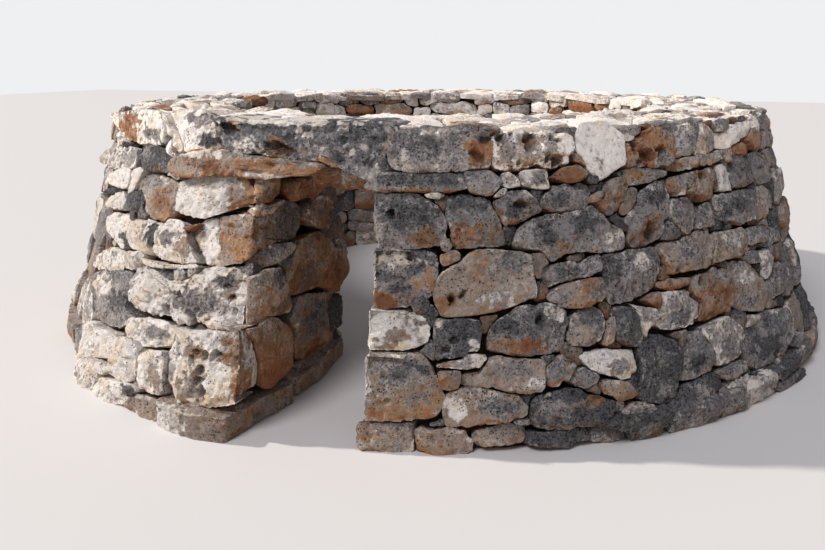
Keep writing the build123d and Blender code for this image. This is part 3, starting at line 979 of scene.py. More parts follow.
def gapStones(skin, firstMark, smallest, largest):
    # small stones wedged into what is left open: place and outline of each
    now = skin.label < 0
    deep = np.zeros(now.shape, int)
    while now.any() and deep.max() < 14:
        deep[now] += 1
        inner = now.copy()
        inner[1:] &= now[:-1]
        inner[:-1] &= now[1:]
        now = inner & np.roll(now, 1, 1) & np.roll(now, -1, 1)
    found = []
    for flat in np.argsort(-deep, axis=None, kind="stable"):
        row, column = divmod(int(flat), skin.columns)
        if deep[row, column] < int(smallest / skin.step):
            break
        if skin.label[row, column] >= 0:
            continue
        bearing, s = (column + 0.5) / skin.columns * 360, skin.low + (row + 0.5) * skin.step
        loop = outlineOf(skin, bearing, s, -1, min(largest, deep[row, column] * skin.step * 2.4), 28)
        if np.ptp(loop[:, 0]) < smallest or np.ptp(loop[:, 1]) < smallest:
            skin.label[row, column] = takenMark
            continue
        markLoop(skin, bearing, s, loop * 1.1, firstMark + len(found))
        found.append((bearing, s, loop))
    return found


# Bearings of the side that the photo doesn't show: what a stone there doesn't fill is left to pins
farSide = dict(first=64, sweep=257, freeFrom=58, freeTo=300, sunlitFrom=280)


def layShared(skin, places, firstMark, takers, **more):
    # builds the stones that shareOut gave cells to, each with its own rule for the look and its seed
    least = dict(cells=20, width=0.05)
    for mark, (place, (look, seed)) in enumerate(zip(places, takers), firstMark):
        bearing, s, halfWide, halfTall, tilt = place
        area, u, v = skin.around(bearing, s, max(halfWide, halfTall) * 1.5)
        held = skin.label[area] == mark
        if not held.any():
            continue
        bearing, s = bearing + u[held].mean() / skin.perDegree(s), s + v[held].mean()
        row, column = skin.cells(bearing, s)
        fits = held.sum() >= least["cells"] and skin.label[row, column] == mark
        loop = outlineOf(skin, bearing, s, mark, max(halfWide, halfTall) * 1.6)
        hidden = farSide["freeFrom"] < bearing % 360 < farSide["freeTo"]
        if hidden:
            skin.label[area] = np.where(held, -1, skin.label[area])
        if not fits or min(np.ptp(loop, axis=0)) < least["width"]:
            continue
        if hidden:
            markLoop(skin, bearing, s, loop * 1.04, mark)
        loop = loop[::skin.mirror] * (skin.mirror, 1)
        layStone(skin.pile(bearing, s), skin.place(bearing, s), loop, look(bearing), seed, **more)


def layPins(skin, firstMark, look, seed, smallest=0.026, proud=0.0, **more):
    pins = gapStones(skin, firstMark, smallest, 0.085)
    for k, (bearing, s, loop) in enumerate(pins):
        loop = loop[::skin.mirror] * (skin.mirror, 1)
        sunk = proud * min(1.0, 0.035 / np.hypot(*loop.T).max())  # the larger ones lie less deep
        layStone(skin.pile(bearing, s), skin.place(bearing, s), loop, look(bearing), seed + k, proud=sunk,
                 **more)
    return len(pins)


def layCourses(skin, courses, pins, start=0, sweep=360, firstMark=0, **stones):
    # what is free of a face: rough courses of stones, then small stones in what stays open
    places, takers = [], []
    for low, high, heights, widths, look, seed in courses:
        found = coursedPlaces(start, sweep, low, high, heights, widths, skin)
        seed = seed or takers[-1][1] + 1  # None goes on from the courses before
        takers += [(look, seed + k) for k in range(len(found))]
        places += found
    shareOut(skin, places, firstMark)
    layShared(skin, places, firstMark, takers, **stones)
    pinCount = layPins(skin, firstMark + len(places), **pins)
    print(skin.kind, "face:", len(places), "coursed stones,", pinCount, "pins")


def layFill(pile, corners, seed):
    # rubble and earth behind the joints, near-black partly as painted shade in them: a grid of places over a
    # face of the core
    rows, columns = corners.shape[:2]
    k = np.arange(rows * columns).reshape(rows, columns)
    quads = np.stack([k[:-1, :-1], k[:-1, 1:], k[1:, 1:], k[1:, :-1]], -1).reshape(-1, 4)
    facts = np.empty((rows * columns, 8))
    facts[:, :5] = factsOf("soilAndShade", np.random.default_rng(seed))
    facts[:, 5:] = (0.5, 0.02, 0.0)
    pile.add(corners.reshape(-1, 3), quads, facts)


def ringFill(name, radius, low, high, first, last, seed):
    # the same round the ring; radius is a rule from height to radius
    z = np.linspace(low, high, max(2, int((high - low) / 0.035) + 1))
    zz, bb = np.meshgrid(z, everyDegree(first, last), indexing="ij")
    r = radius(zz)
    layFill(pileFor(name), np.stack([r * np.sin(bb), -r * np.cos(bb), zz], -1), seed)


def everyDegree(first, last):
    return np.radians(np.arange(first, last + 0.5, 1.0).clip(first, last))


def roughRect(low, high):
    # a rectangle with worn and uneven edges
    (x0, z0), (x1, z1) = low, high
    left, right, middle = x0 * 0.65 + x1 * 0.35, x0 * 0.3 + x1 * 0.7, (z0 + z1) / 2
    corners = [(x0, z0), (left, z0), (right, z0), (x1, z0), (x1, middle),
               (x1, z1), (right, z1), (left, z1), (x0, z1), (x0, middle)]
    return closedLoop(np.array(corners) + rng.uniform(-0.010, 0.010, (10, 2)), 0.16)


def chooser(**odds):
    names, shares = list(odds), np.array(list(odds.values())) / sum(odds.values())
    return lambda bearing=0: names[int(rng.choice(len(names), p=shares))]


rng = np.random.default_rng(7)
outerSkin = Skin("outer", hut["footingTop"], hut["wallHeight"])
outerFace, frontFace, passageSide = OuterFace(), FrontFace(), PassageSide()

# The doorway and the stones round it take their share of the wall first
outerSkin.take(bearingAt(door["left"], door["faceRadius"]) - 1, bearingAt(door["right"], door["faceRadius"]),
               hut["footingTop"], hut["headBase"] + 0.03)
jambs = dict(  # from the foot up: how far each quoin stands out, its worn corner, its step forward, beds
    left=dict(side=-1, stones=leftQuoins, proud=(0.04, 0.015, 0, 0), corner=(0.11, 0.19, 0.30, 0.24),
              forward=(0.10, 0.04, 0, 0), beds=(0.135, 0.42, 0.725, 0.945, 1.125)),
    right=dict(side=1, stones=rightQuoins, proud=(0, 0.02, 0.025, 0.045), corner=(0.07, 0.09, 0.08, 0.10),
               forward=(0, 0, 0, 0), beds=(0.135, 0.43, 0.62, 0.87, 1.115), back=(0.25, 0.45, 0.27, 0.40)),
)
for jamb in jambs.values():
    beds = jamb["beds"]
    jamb["faces"] = [
        CornerFace(jamb["side"], jamb["proud"][k], jamb["corner"][k], (beds[k] + beds[k + 1]) / 2,
                   jamb["forward"][k]) for k in range(4)]
for look, corners, special in leftQuoins + rightQuoins + [lintelStone] + padStones:
    at, loop = outerFace.outline(corners)
    markLoop(outerSkin, *at, closedLoop(loop), takenMark)

# The stones of the wall that the photo shows; the lower ones at the left stand out of the wall
leftFoot = dict(proud=0.09, firstRow=300, rows=90)
wallStones = topStones + leftStones + rightStones
for mark, stone in enumerate(wallStones):
    face, more = outerFace, {}
    if stone in leftStones:
        lowest = max(y for x, y in stone[1])
        flare = min(1.0, max(0.0, (lowest - leftFoot["firstRow"]) / leftFoot["rows"]))
        face = OuterFace(leftFoot["proud"] * flare)
        more = dict(rough=0.013, facets=12)
    at, loop = face.outline(stone[1])
    markLoop(outerSkin, *at, closedLoop(loop), mark)
    if at[1] > hut["headBase"]:
        more.update(depth=0.30, taper=0.06)
    layPhotoStone(outerSkin.pile(*at), face, stone, 100 + mark, **more)
print("stones read from the photo:", len(wallStones))

# The rest of the outer face in rough courses, and small stones in what stays open
fieldLook = chooser(grey=9, dark=4, pale=5, cream=2, tan=6, brown=2, rust=1)
# mostly dark looks for the pins, partly as painted shade in the joints
pinLook = chooser(grey=4, dark=5, pale=1, tan=3, brown=5)
# paler looks on the lit side of the ring, partly painted sunlight
sunlitLook = chooser(pale=4, cream=2, grey=6, tan=3)  # beside the sunlit stones of the photo


def sunlitOr(other):
    return lambda bearing: (sunlitLook if farSide["sunlitFrom"] < bearing % 360 else other)()


outer = dict(
    start=farSide["first"], sweep=farSide["sweep"], firstMark=len(wallStones),
    # bottom, top, course heights, widths (usual, least, most), look, first seed
    courses=[(hut["footingTop"], hut["headBase"], (0.26, 0.24, 0.22, 0.2, 0.19, 0.18), (0.31, 0.15, 0.56),
              sunlitOr(fieldLook), 1000),
             (hut["headBase"], hut["wallHeight"] - 0.02, (0.2,), (0.36, 0.2, 0.6),
              sunlitOr(fieldLook), None)],
    # the pins are darkened to 0.66: painted shade in the joints
    pins=dict(look=sunlitOr(pinLook), seed=5000, depth=0.08, proud=-0.034, cell=0.014, sideCell=0.04,
              joint=0.002, chips=3, facets=3, shade=0.66),
)
layCourses(outerSkin, **outer)

# Footing course
footingLook = chooser(grey=5, dark=4, tan=2, pale=2, pink=1)
footing = dict(
    doorway=(-2.6, 10.2), leftProud=0.07, rightProud=-0.03, leftUntil=300,  # a pixel column
    rightBlocks=((1.95, 2.50), (1.42, 1.94)), blockTop=0.13,  # along the passage, on its right side
    stones=dict(depth=0.3, taper=0.05),
    courses=[(0.0, hut["footingTop"], (hut["footingTop"],), (0.34, 0.2, 0.55), footingLook, 8000)],
    # the footing pins are darkened to 0.8: painted shade in the joints
    pins=dict(look=footingLook, seed=8500, smallest=0.04, depth=0.08, proud=-0.02, shade=0.8),
)
footingSkin = Skin("footing", 0.0, hut["footingTop"])
footingSkin.take(*footing["doorway"], 0, 1)
for seed, stone in enumerate(footingStones, 400):
    face = OuterFace(footing["leftProud" if stone[1][0][0] < footing["leftUntil"] else "rightProud"])
    at, loop = face.outline(stone[1])
    markLoop(footingSkin, *at, closedLoop(loop), seed)
    layPhotoStone(footingSkin.pile(*at), face, stone, seed, **footing["stones"])
# two long blocks under the left jamb, seen from above and along the passage: outlines on plan
jambFootings = dict(
    pink=[(-0.56, -2.63), (-0.34, -2.68), (-0.22, -2.675), (-0.14, -2.665), (-0.12, -2.58), (-0.10, -2.40),
          (-0.045, -2.185), (-0.10, -2.13), (-0.36, -2.2), (-0.58, -2.4)],
    tan=[(-0.38, -2.16), (-0.06, -2.13), (-0.035, -1.9), (-0.06, -1.70), (-0.09, -1.46), (-0.38, -1.5)],
)
# these blocks are darkened to 0.9 as painted shade, and the cream patch on their front face is painted
# sunlight
footingForm = dict(depth=0.13, taper=-0.02, cell=0.012, sideCell=0.012, sideRough=True, tilt=1.0, rough=0.009,
                   weathering=0.0, shade=0.9, patches=[("cream", -0.47, -2.66, 0.13, 0.05)])
for seed, (look, corners) in enumerate(jambFootings.items(), 404):
    layStone(pileFor("footing_left_front"), flatPlace((0, 0, hut["footingTop"] - 0.01), *np.eye(3)),
             closedLoop(corners, 0.14), look, seed, **footingForm)
blocks = dict(bearing=-7.0, height=0.07, half=(0.26, 0.1))  # the room that they take in the ring
square = np.array([(-1, -1), (1, -1), (1, 1), (-1, 1)])
markLoop(footingSkin, blocks["bearing"], blocks["height"], square * blocks["half"], takenMark)
rightSide = flatPlace((door["right"], 0, 0), (0, -1, 0), (0, 0, 1), (-1, 0, 0))
leftSide = flatPlace((door["left"], 0, 0), (0, 1, 0), (0, 0, 1), (1, 0, 0))
for seed, (near, far) in enumerate(footing["rightBlocks"], 406):
    layStone(pileFor("footing_right_front"), rightSide, roughRect((near, 0.0), (far, footing["blockTop"])),
             "pink", seed, cell=0.014)
layCourses(footingSkin, footing["courses"], footing["pins"], firstMark=1000, **footing["stones"])

# Inner face, from the ground to the wall head
innerTop = hut["wallHeight"] - 0.01
innerSkin = Skin("inner", 0.0, innerTop)
for low, high in ((Vector((door["left"], 0, 0)), Vector((door["right"], 0, door["soffit"]))),
                  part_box("inner_lintel"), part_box("door_cap_slab")):
    innerSkin.take(bearingAt(low.x, hut["innerRadius"]), bearingAt(high.x, hut["innerRadius"]), low.z, high.z)
innerLook = chooser(grey=8, dark=3, tan=5, brown=3, pale=2)
innerHeadLook = chooser(cream=4, white=4, pale=4, tan=3, rust=2, grey=3)
inner = dict(
    depth=0.16, sideCell=0.07, pins=dict(look=pinLook, seed=14000, depth=0.07, proud=-0.012),
    courses=[(0.0, hut["footingTop"], (0.14,), (0.28, 0.16, 0.42), innerLook, 10000),
             (hut["footingTop"], hut["headBase"], (0.19, 0.17, 0.2, 0.16, 0.18, 0.17), (0.23, 0.12, 0.4),
              innerLook, None),
             (hut["headBase"], innerTop, (0.11, 0.09), (0.21, 0.1, 0.4), innerHeadLook, 13000)],
)
layCourses(innerSkin, **inner)

# Wall head: broken slabs laid flat on the core
headSkin = Skin("head", hut["innerRadius"] - 0.01, hut["topRadius"] - 0.06)
headLook = chooser(white=8, cream=8, pale=6, grey=2, tan=1, rust=0.5)
head = dict(
    depth=0.06, proud=0.004, edge=0.008, bulge=0.002, rough=0.012, taper=0.05, sideCell=0.02, weathering=0.0,
    courses=[(headSkin.low, headSkin.high, (0.19, 0.13, 0.17, 0.12), (0.25, 0.1, 0.5), headLook, 16000)],
    pins=dict(look=headLook, seed=19000, depth=0.05, proud=-0.01),
)
layCourses(headSkin, **head)

# Jambs
for name, jamb in jambs.items():
    for k, stone in enumerate(jamb["stones"]):
        more = dict(depth=0.17, taper=0.05, chips=4, tilt=0.5)
        if name == "right":  # the wall beside these hides how far back they reach
            low, high = jamb["beds"][k] + 0.012, jamb["beds"][k + 1] - 0.008
            more.update(shade=1.09, beyond=[(s, z) for s in (jamb["back"][k], 0.6) for z in (low, high)])
        layPhotoStone(pileFor(f"{name}_quoin_{k + 1}"), jamb["faces"][k], stone,
                      450 + k + 10 * jamb["side"], **more)
for seed, stone in enumerate(passageStones, 470):
    bend = stone[2].pop("bend", None)  # number of the jamb stone that it lies beside
    face = passageSide if bend is None else jambs["left"]["faces"][bend]
    # the passage stones are brightened 1.65 times: painted light on a face in shade
    layPhotoStone(pileFor("left_passage_lining"), face, stone, seed, depth=0.14, shade=1.65)
lining = dict(  # bottom, top, and where the stone ends towards the outside
    right=((0.135, 0.43, 1.66), (0.43, 0.62, 1.84), (0.62, 0.87, 1.68), (0.87, 1.085, 1.8)),
    left=((0.88, 1.085), (0.70, 0.88)), form=dict(depth=0.2, cell=0.014),
)
liningLook = chooser(grey=2, brown=2, tan=2)
for seed, (low, high, back) in enumerate(lining["right"], 490):
    layStone(pileFor("right_passage_lining"), rightSide, roughRect((1.42, low), (back, high)), liningLook(),
             seed, **lining["form"])
for seed, (low, high) in enumerate(lining["left"], 495):
    layStone(pileFor("left_passage_lining"), leftSide, roughRect((-1.66, low), (-1.43, high)), liningLook(),
             seed, **lining["form"])
print("jambs laid")

# Pads, lintels and the slab that caps the passage
padForm = dict(depth=0.36, taper=0.03, chips=0, facets=0, tilt=0.5, rough=0.010, uneven=0.0, bulge=0.004)
for name, stone, proud in zip(("left_lintel_pad", "right_lintel_pad"), padStones, (0.035, 0.012)):
    layPhotoStone(pileFor(name), frontFace, stone, 500 + len(name), proud=proud, **padForm)
layPhotoStone(pileFor("outer_lintel"), frontFace, lintelStone, 510, depth=0.34, taper=0.03, chips=5, facets=3,
              sideCell=0.02)
middleDrop = 0.03  # the photo shows the middle lintel that much lower than its node
low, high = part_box("middle_lintel")
# the middle lintel is brightened 1.9 times: painted light on a stone that lies in shade
layStone(pileFor("middle_lintel"), flatPlace((0, low.y, 0), (1, 0, 0), (0, 0, 1), (0, -1, 0)),
         roughRect((low.x, low.z - middleDrop), (high.x, high.z)), "pink", 520, depth=high.y - low.y,
         taper=0.02, cell=0.012, shade=1.9, tilt=0.5)
low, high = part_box("inner_lintel")
halfWidth = (high.x - low.x) / 2
layStone(pileFor("inner_lintel"),
         innerSkin.place(bearingAt((door["left"] + door["right"]) / 2, hut["innerRadius"]), 0),
         roughRect((-halfWidth, low.z), (halfWidth, high.z)), "brown", 521, depth=0.19, taper=0.02,
         cell=0.014)
low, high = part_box("door_cap_slab")
layStone(pileFor("door_cap_slab"), flatPlace((0, 0, high.z - 0.03), *np.eye(3)),
         roughRect((low.x, low.y), (high.x, high.y - 0.03)), "pale", 522, depth=0.15, taper=0.03, cell=0.016)
print("lintels laid")

# Rubble and earth behind the joints of every face, near-black partly as painted shade in the joints
fill = dict(depth=0.10, inside=0.07, below=0.05, slabsBelow=0.055, jamb=0.11, passage=(-2.05, -1.5))


def coreRadius(z):
    return wallRadius(z) - fill["depth"]


for k, part in enumerate(parts):
    first = hut["splitBearing"] + partSweep * k
    last = first + partSweep
    outerEnds, innerEnds = [first, last], [first, last]
    if part in ("right_front", "left_front"):  # these end at the doorway
        side = 1 if part == "right_front" else -1
        edge, turn = door["right" if side > 0 else "left"] + side * fill["depth"], 0 if side > 0 else 360
        outerEnds[side < 0] = turn + bearingAt(edge, door["fillRadius"])
        innerEnds[side < 0] = turn + bearingAt(edge, hut["innerRadius"])
    ringFill("outer_face_" + part, coreRadius, 0.0, hut["headBase"], *outerEnds, k)
    top = hut["wallHeight"] - fill["below"]
    ringFill("wall_head_" + part, coreRadius, hut["headBase"], top, first, last, k)
    ringFill("inner_face_" + part, lambda z: hut["innerRadius"] + fill["inside"], 0.0, top, *innerEnds, k)
    radii = np.linspace(hut["innerRadius"] + fill["inside"], hut["topRadius"] - 0.08, 18)
    rr, bb = np.meshgrid(radii, everyDegree(first, last), indexing="ij")
    flat = np.full_like(rr, hut["wallHeight"] - fill["slabsBelow"])
    layFill(pileFor("wall_head_" + part), np.stack([rr * np.sin(bb), -rr * np.cos(bb), flat], -1), 50 + k)
for side, sign in (("left", 1), ("right", -1)):
    yy, zz = np.meshgrid(np.linspace(*fill["passage"], 20)[::sign], np.linspace(0.05, door["soffit"], 24))
    flat = np.full_like(yy, door[side] - sign * fill["jamb"])
    layFill(pileFor(side + "_passage_lining"), np.stack([flat, yy, zz], -1), 60)


class Shade:
    # a value in a material: expressions of these add Math nodes, and node() makes any other kind
    def __init__(self, tree, socket=None):
        self.tree, self.socket = tree, socket

    def node(self, kind, settings, given, out=0):
        made = self.tree.nodes.new("ShaderNode" + kind)
        for name, value in settings.items():
            setattr(made, name, value)
        for name, value in given.items():
            if isinstance(value, Shade):
                self.tree.links.new(value.socket, made.inputs[name])
            else:
                made.inputs[name].default_value = value
        return Shade(self.tree, made.outputs[out])

    def output(self, name):
        return Shade(self.tree, self.socket.node.outputs[name])

    def maths(self, kind, other, swapped=False, clamp=False):
        first, second = (other, self) if swapped else (self, other)
        return self.node("Math", dict(operation=kind, use_clamp=clamp), {0: first, 1: second})

    __add__ = __radd__ = partialmethod(maths, "ADD")
    __mul__ = __rmul__ = partialmethod(maths, "MULTIPLY")
    __sub__, __rsub__ = partialmethod(maths, "SUBTRACT"), partialmethod(maths, "SUBTRACT", swapped=True)

    def clamped(self):
        return self.maths("ADD", 0.0, clamp=True)

    def between(self, low, high):
        # 0 below low, 1 above high, smooth between
        return self.node("MapRange", dict(interpolation_type="SMOOTHSTEP"), {0: self, 1: low, 2: high})

    def blend(self, first, second):
        # a colour between two by this value
        return self.node("Mix", dict(data_type="RGBA"), {0: self, 6: first, 7: second}, 2)


def rgb(red, green, blue):
    return (red, green, blue, 1.0)


stoneColours = dict(
    grey=rgb(0.318, 0.304, 0.294), tan=rgb(0.425, 0.325, 0.250), earth=rgb(0.235, 0.150, 0.105),
    fresh=rgb(0.810, 0.750, 0.675), honey=rgb(0.690, 0.545, 0.365), rust=rgb(0.315, 0.120, 0.058),
    ochre=rgb(0.470, 0.245, 0.098), lichen=rgb(0.120, 0.115, 0.120), speck=rgb(0.036, 0.035, 0.037),
    paleLichen=rgb(0.575, 0.560, 0.530),
)


def freshMaterial(name):
    # a material with nodes, and its surface shader
    material = bpy.data.materials.new(name)
    material.use_nodes = True
    return material, material.node_tree.nodes["Principled BSDF"]


def stoneMaterial(name, warmer=0.0, lichened=0.0, brighter=1.0):
    material, surface = freshMaterial(name)
    tree = material.node_tree
    s = Shade(tree)
    mixed = s.node("Attribute", dict(attribute_name="stoneMix"), {})
    channels = s.node("SeparateColor", {}, {0: mixed})
    warmth, rust, lichen = channels, channels.output("Green"), channels.output("Blue")
    fresh = mixed.output("Alpha")
    bright, seed, hollow = (s.node("Attribute", dict(attribute_name=name), {}, 2)
                            for name in ("stoneBright", "stoneSeed", "stoneHollow"))
    level = s.node("SeparateXYZ", {}, {0: s.node("NewGeometry", {}, {}, "Normal")}, "Z")
    under, over = (0.14 - level).between(0.0, 0.55), level.between(0.45, 0.95)
    place = s.node("TexCoord", {}, {}, "Object")
    shift = s.node("CombineXYZ", {}, {0: seed * 37.0, 1: seed * 19.0, 2: seed * 53.0})
    place = s.node("VectorMath", dict(operation="ADD"), {0: place, 1: shift})

    def noise(scale, detail=4.0, roughness=0.55, distortion=0.0):
        return s.node("TexNoise", {}, {"Vector": place, "Scale": scale, "Detail": detail,
                                       "Roughness": roughness, "Distortion": distortion})

    broad, patchy = noise(5.0), noise(14.0, 6.0, 0.62)
    fine, grain = noise(46.0, 6.0, 0.68), noise(190.0, 3.0, 0.6)
    crusted = (lichen * 8.0).clamped()  # smooth chalky stones have no crust at all
    base = (warmth + warmer + (broad - 0.5) * 1.5).clamped().blend(stoneColours["grey"], stoneColours["tan"])
    base = (noise(9.0, 5.0, 0.6).between(0.5, 0.66) * (0.2 + rust * 0.5)).blend(base, stoneColours["earth"])
    # where the stone is freshly broken it is cream, and honey-coloured in places
    broken = (fresh * 0.9 + (patchy - 0.5) * 1.2 + (fine - 0.5) * 0.9).between(0.27, 0.50)
    # the hollows are tinted honey, partly stain and partly painted warm shade
    honeyed = noise(7.0, 5.0, 0.62).between(0.47, 0.62) * (0.2 + warmth * 0.75) + hollow * 0.25
    base = broken.blend(base, honeyed.clamped().blend(stoneColours["fresh"], stoneColours["honey"]))
    # rust-red earth stains, ochre at their rims, most of all on the underside
    stain = rust * 0.90 + under * 0.34 + (noise(8.0, 7.0, 0.66, 0.4) - 0.5) * 1.9 + (fine - 0.5) * 1.0
    # the hollows take more ochre, partly stain and partly painted warm shade
    stain = stain - broken * (1 - rust) * 0.22 + hollow * 0.12
    base = (stain.between(0.30, 0.66) * 0.75).blend(base, stoneColours["ochre"])
    base = (stain.between(0.50, 1.0) * 0.9).blend(base, stoneColours["rust"])
    # pale and dark crusts of lichen with ragged edges, in colonies, and black specks
    colony = (noise(7.5, 5.0, 0.62) - 0.5) * 0.55
    crust = (noise(40.0, 8.0, 0.72, 0.4) + (broad - 0.5) * 0.9 + lichen * 0.06).between(0.56, 0.61)
    base = (crust * (0.25 + lichen * 0.45) * crusted).blend(base, stoneColours["paleLichen"])
    ragged = noise(58.0, 7.0, 0.72, 0.3)
    dark = ragged + colony + (patchy - 0.5) * 0.25 + (lichen + lichened - 0.5) * 0.32
    dark = dark - under * 0.08 + over * 0.03
    masked = crusted * (1 - broken * 0.8)
    base = (dark.between(0.515, 0.565) * masked * 0.70).blend(base, stoneColours["lichen"])
    specks = (noise(95.0, 4.0, 0.65) + (lichen - 0.5) * 0.05 + (dark - 0.5) * 0.15).between(0.585, 0.63)
    base = (specks * crusted * (0.9 - broken * 0.65)).blend(base, stoneColours["speck"])
    pitted = s.node("TexVoronoi", {}, {"Vector": place, "Scale": 64.0}, "Distance").between(0.10, 0.30)
    pits = (1 - pitted) * noise(13.0, 3.0).between(0.44, 0.56) * crusted
    calm = 1 - broken * 0.5
    light = (1 + (fine - 0.5) * 1.2 * calm) * (1 + (grain - 0.5) * 1.1 * calm) * (1 + (patchy - 0.5) * 0.5)
    # darker in the hollows and in the pits: painted shade
    light = light * bright * brighter * (1 - hollow * 0.3) * (1 - pits * 0.75)
    gain = s.node("CombineXYZ", {}, {0: light, 1: light, 2: light})
    colour = s.node("VectorMath", dict(operation="MULTIPLY"), {0: base, 1: gain})
    tree.links.new(colour.socket, surface.inputs["Base Color"])
    surface.inputs["Roughness"].default_value = 0.92
    surface.inputs["Specular IOR Level"].default_value = 0.18
    relief = patchy * 0.7 + fine * 0.7 + grain * 0.16 + ragged * 0.3 - pits * 0.5
    bumped = s.node("Bump", {}, {"Height": relief, "Strength": 1.15, "Distance": 0.022})
    tree.links.new(bumped.socket, surface.inputs["Normal"])
    return material


slots = dict(
    field_limestone=dict(),
    # the quoins and the passage lining are made warmer, partly as painted warm light in the passage
    quoin_limestone=dict(warmer=0.10, brighter=0.93),
    lintel_limestone=dict(lichened=0.04, brighter=0.95),
    footing_blocks=dict(warmer=0.12),
    # the wall head is made 1.3 times brighter, partly as painted sunlight on its top
    head_slabs=dict(warmer=0.06, brighter=1.3),
    inner_limestone=dict(warmer=0.12, brighter=1.06),
    hearting_rubble=dict(warmer=0.3, brighter=0.6),
)
materials = {slot: stoneMaterial(slot, **look) for slot, look in slots.items()}


slotWords = dict(  # the first of these words that a piece's name has tells its slot
    footing="footing_blocks", wall_head="head_slabs", door_cap="head_slabs", inner_face="inner_limestone",
    outer_face="field_limestone", hearting="hearting_rubble", quoin="quoin_limestone",
    lining="quoin_limestone", lintel="lintel_limestone",
)


def slotOf(name):
    return next(slot for word, slot in slotWords.items() if word in name)


def intoScene(name, data):
    made = bpy.data.objects.new(name, data)
    bpy.context.scene.collection.objects.link(made)
    return made


def roughen(points, facts, quads):
    # pushes the points in and out along their normals, by the roughness of each stone
    corner = points[quads]
    across = np.cross(corner[:, 2] - corner[:, 0], corner[:, 3] - corner[:, 1])
    normal = np.stack([np.bincount(quads.ravel(), np.repeat(side, 4), len(points)) for side in across.T], 1)
    normal /= np.linalg.norm(normal, axis=1, keepdims=True) + 1e-12
    shift = points + facts[:, 5:6] * 31.7
    push = 0.4 * softNoise(shift, 9, 1) + 0.4 * softNoise(shift, 21, 2) + 0.42 * softNoise(shift, 50, 3)
    pits, smallPits = softNoise(shift, 28, 4) - 0.40, softNoise(shift, 60, 8) - 0.45
    push -= 1.6 * np.maximum(pits, 0) + 1.3 * np.maximum(smallPits, 0)
    push -= 0.4 * np.clip(1 - abs(softNoise(shift, 12, 5)) / 0.10, 0, 1) * (softNoise(shift, 5, 6) > -0.1)
    push = push * facts[:, 6] * np.clip(1 - 1.2 * facts[:, 7], 0.2, 1)
    points = points + normal * push[:, None]
    points[:, 2] = np.clip(points[:, 2], hut["lowest"], hut["crown"])
    return points, push


def meshOf(name, points, quads, caps):
    mesh = bpy.data.meshes.new(name)
    corners = np.concatenate([quads.ravel()] + caps)
    sizes = np.concatenate([np.full(len(quads), 4), [len(c) for c in caps]]).astype(np.int32)
    mesh.vertices.add(len(points))
    mesh.vertices.foreach_set("co", points.astype(np.float32).ravel())
    mesh.loops.add(len(corners))
    mesh.loops.foreach_set("vertex_index", corners.astype(np.int32))
    mesh.polygons.add(len(sizes))
    mesh.polygons.foreach_set("loop_start", np.concatenate([[0], np.cumsum(sizes)[:-1]]).astype(np.int32))
    mesh.update(calc_edges=True)
    mesh.validate()
    mesh.shade_smooth()
    mesh.set_sharp_from_angle(angle=math.radians(36))
    return mesh, int((sizes - 2).sum())


def buildPile(pile):
    # the piece that a pile's stones make, with what the material needs at each point; counts triangles
    points, facts, quads = (np.concatenate(group) for group in (pile.points, pile.facts, pile.quads))
    points, push = roughen(points, facts, quads)
    mesh, triangles = meshOf(pile.name + "_stones", points, quads, pile.caps)
    mix = mesh.color_attributes.new("stoneMix", "FLOAT_COLOR", "POINT")
    mix.data.foreach_set("color", facts[:, :4].astype(np.float32).ravel())
    # how far roughening pushed each point in; the material darkens these hollows as painted shade and tints
    # them warmer
    hollow = np.clip(-push / (facts[:, 6] + 1e-6) * 1.2 - 0.15, 0, 1)
    for name, values in (("stoneBright", facts[:, 4]), ("stoneSeed", facts[:, 5]), ("stoneHollow", hollow)):
        mesh.attributes.new(name, "FLOAT", "POINT").data.foreach_set("value", values.astype(np.float32))
    piece = intoScene(pile.name + "_stones", mesh)
    mesh.materials.append(materials[slotOf(pile.name)])
    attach(piece, "root")
    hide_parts(pile.name)
    return triangles


counts = {pile.name: buildPile(pile) for pile in piles.values()}
print("triangles:", sum(counts.values()), "in", len(counts), "pieces, most in one:", max(counts.values()))
for name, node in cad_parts.items():
    if name.startswith("hearting"):
        node.data.materials.clear()
        node.data.materials.append(materials[slotOf(name)])

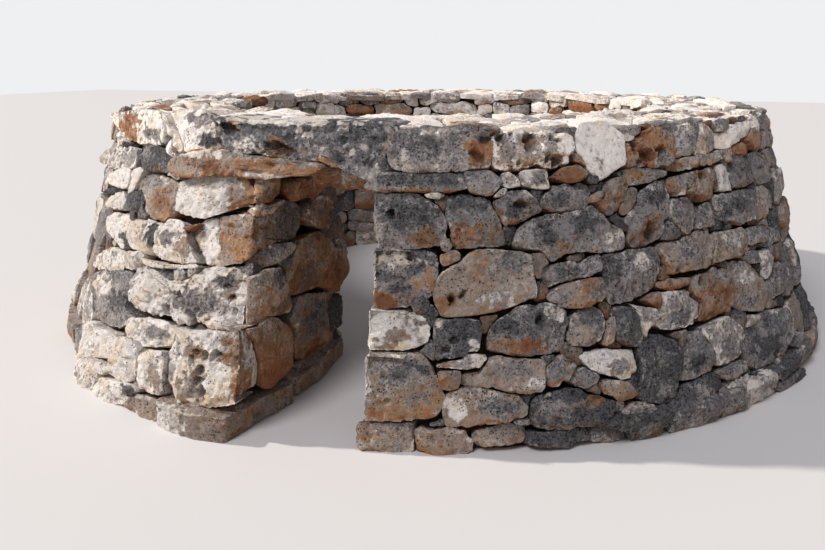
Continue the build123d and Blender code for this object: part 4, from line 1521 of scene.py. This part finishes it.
# Floor, light and camera
studio = dict(
    floorColour=rgb(0.62, 0.60, 0.57), floorReach=30, backColour=rgb(0.86, 0.87, 0.88),
    fillColour=rgb(0.85, 0.875, 1.0), fill=0.33,
    # energy, bearing and height in degrees, spread, colour
    lamps=dict(key=(3.3, -84.0, 33.0, 2.0, (1.0, 0.945, 0.885)),
               top=(1.9, -22.0, 50.0, 22.0, (0.95, 0.93, 1.0))),
)
reach = studio["floorReach"]
floorMesh = bpy.data.meshes.new("floor")
floorMesh.from_pydata([(-reach, -reach, 0), (reach, -reach, 0), (reach, reach, 0), (-reach, reach, 0)], [],
                      [(0, 1, 2, 3)])
floor = intoScene("floor", floorMesh)
floorMaterial, floorSurface = freshMaterial("floor")
floorSurface.inputs["Base Color"].default_value = studio["floorColour"]
floorSurface.inputs["Roughness"].default_value = 0.9
floorMesh.materials.append(floorMaterial)

# the world lights the hut with a dim sky, and the camera sees a plain one
world = bpy.data.worlds.new("studio")
bpy.context.scene.world = world
world.use_nodes = True
sky = Shade(world.node_tree)
around = world.node_tree.nodes["Background"]
around.inputs["Color"].default_value = studio["fillColour"]
around.inputs["Strength"].default_value = studio["fill"]
back = sky.node("Background", {}, {"Color": studio["backColour"], "Strength": 1.0})
seen = sky.node("LightPath", {}, {}, "Is Camera Ray")
both = sky.node("MixShader", {}, {0: seen, 1: Shade(world.node_tree, around.outputs[0]), 2: back})
world.node_tree.links.new(both.socket, world.node_tree.nodes["World Output"].inputs["Surface"])

for name, (energy, bearing, height, spread, colour) in studio["lamps"].items():
    lamp = bpy.data.lights.new(name, "SUN")
    lamp.energy, lamp.angle, lamp.color = energy, math.radians(spread), colour
    b, h = math.radians(bearing), math.radians(height)
    towards = Vector((math.sin(b) * math.cos(h), -math.cos(b) * math.cos(h), math.sin(h)))
    intoScene(name, lamp).rotation_euler = towards.to_track_quat("Z", "Y").to_euler()

lens = bpy.data.cameras.new("photo")
lens.lens = lens.sensor_width * photoCamera["focal"] / photoCamera["width"]
camera = intoScene("photo", lens)
camera.location = photoCamera["place"]
camera.rotation_euler = cameraAngles
bpy.context.scene.camera = camera
bpy.context.scene.view_settings.view_transform = "Standard"
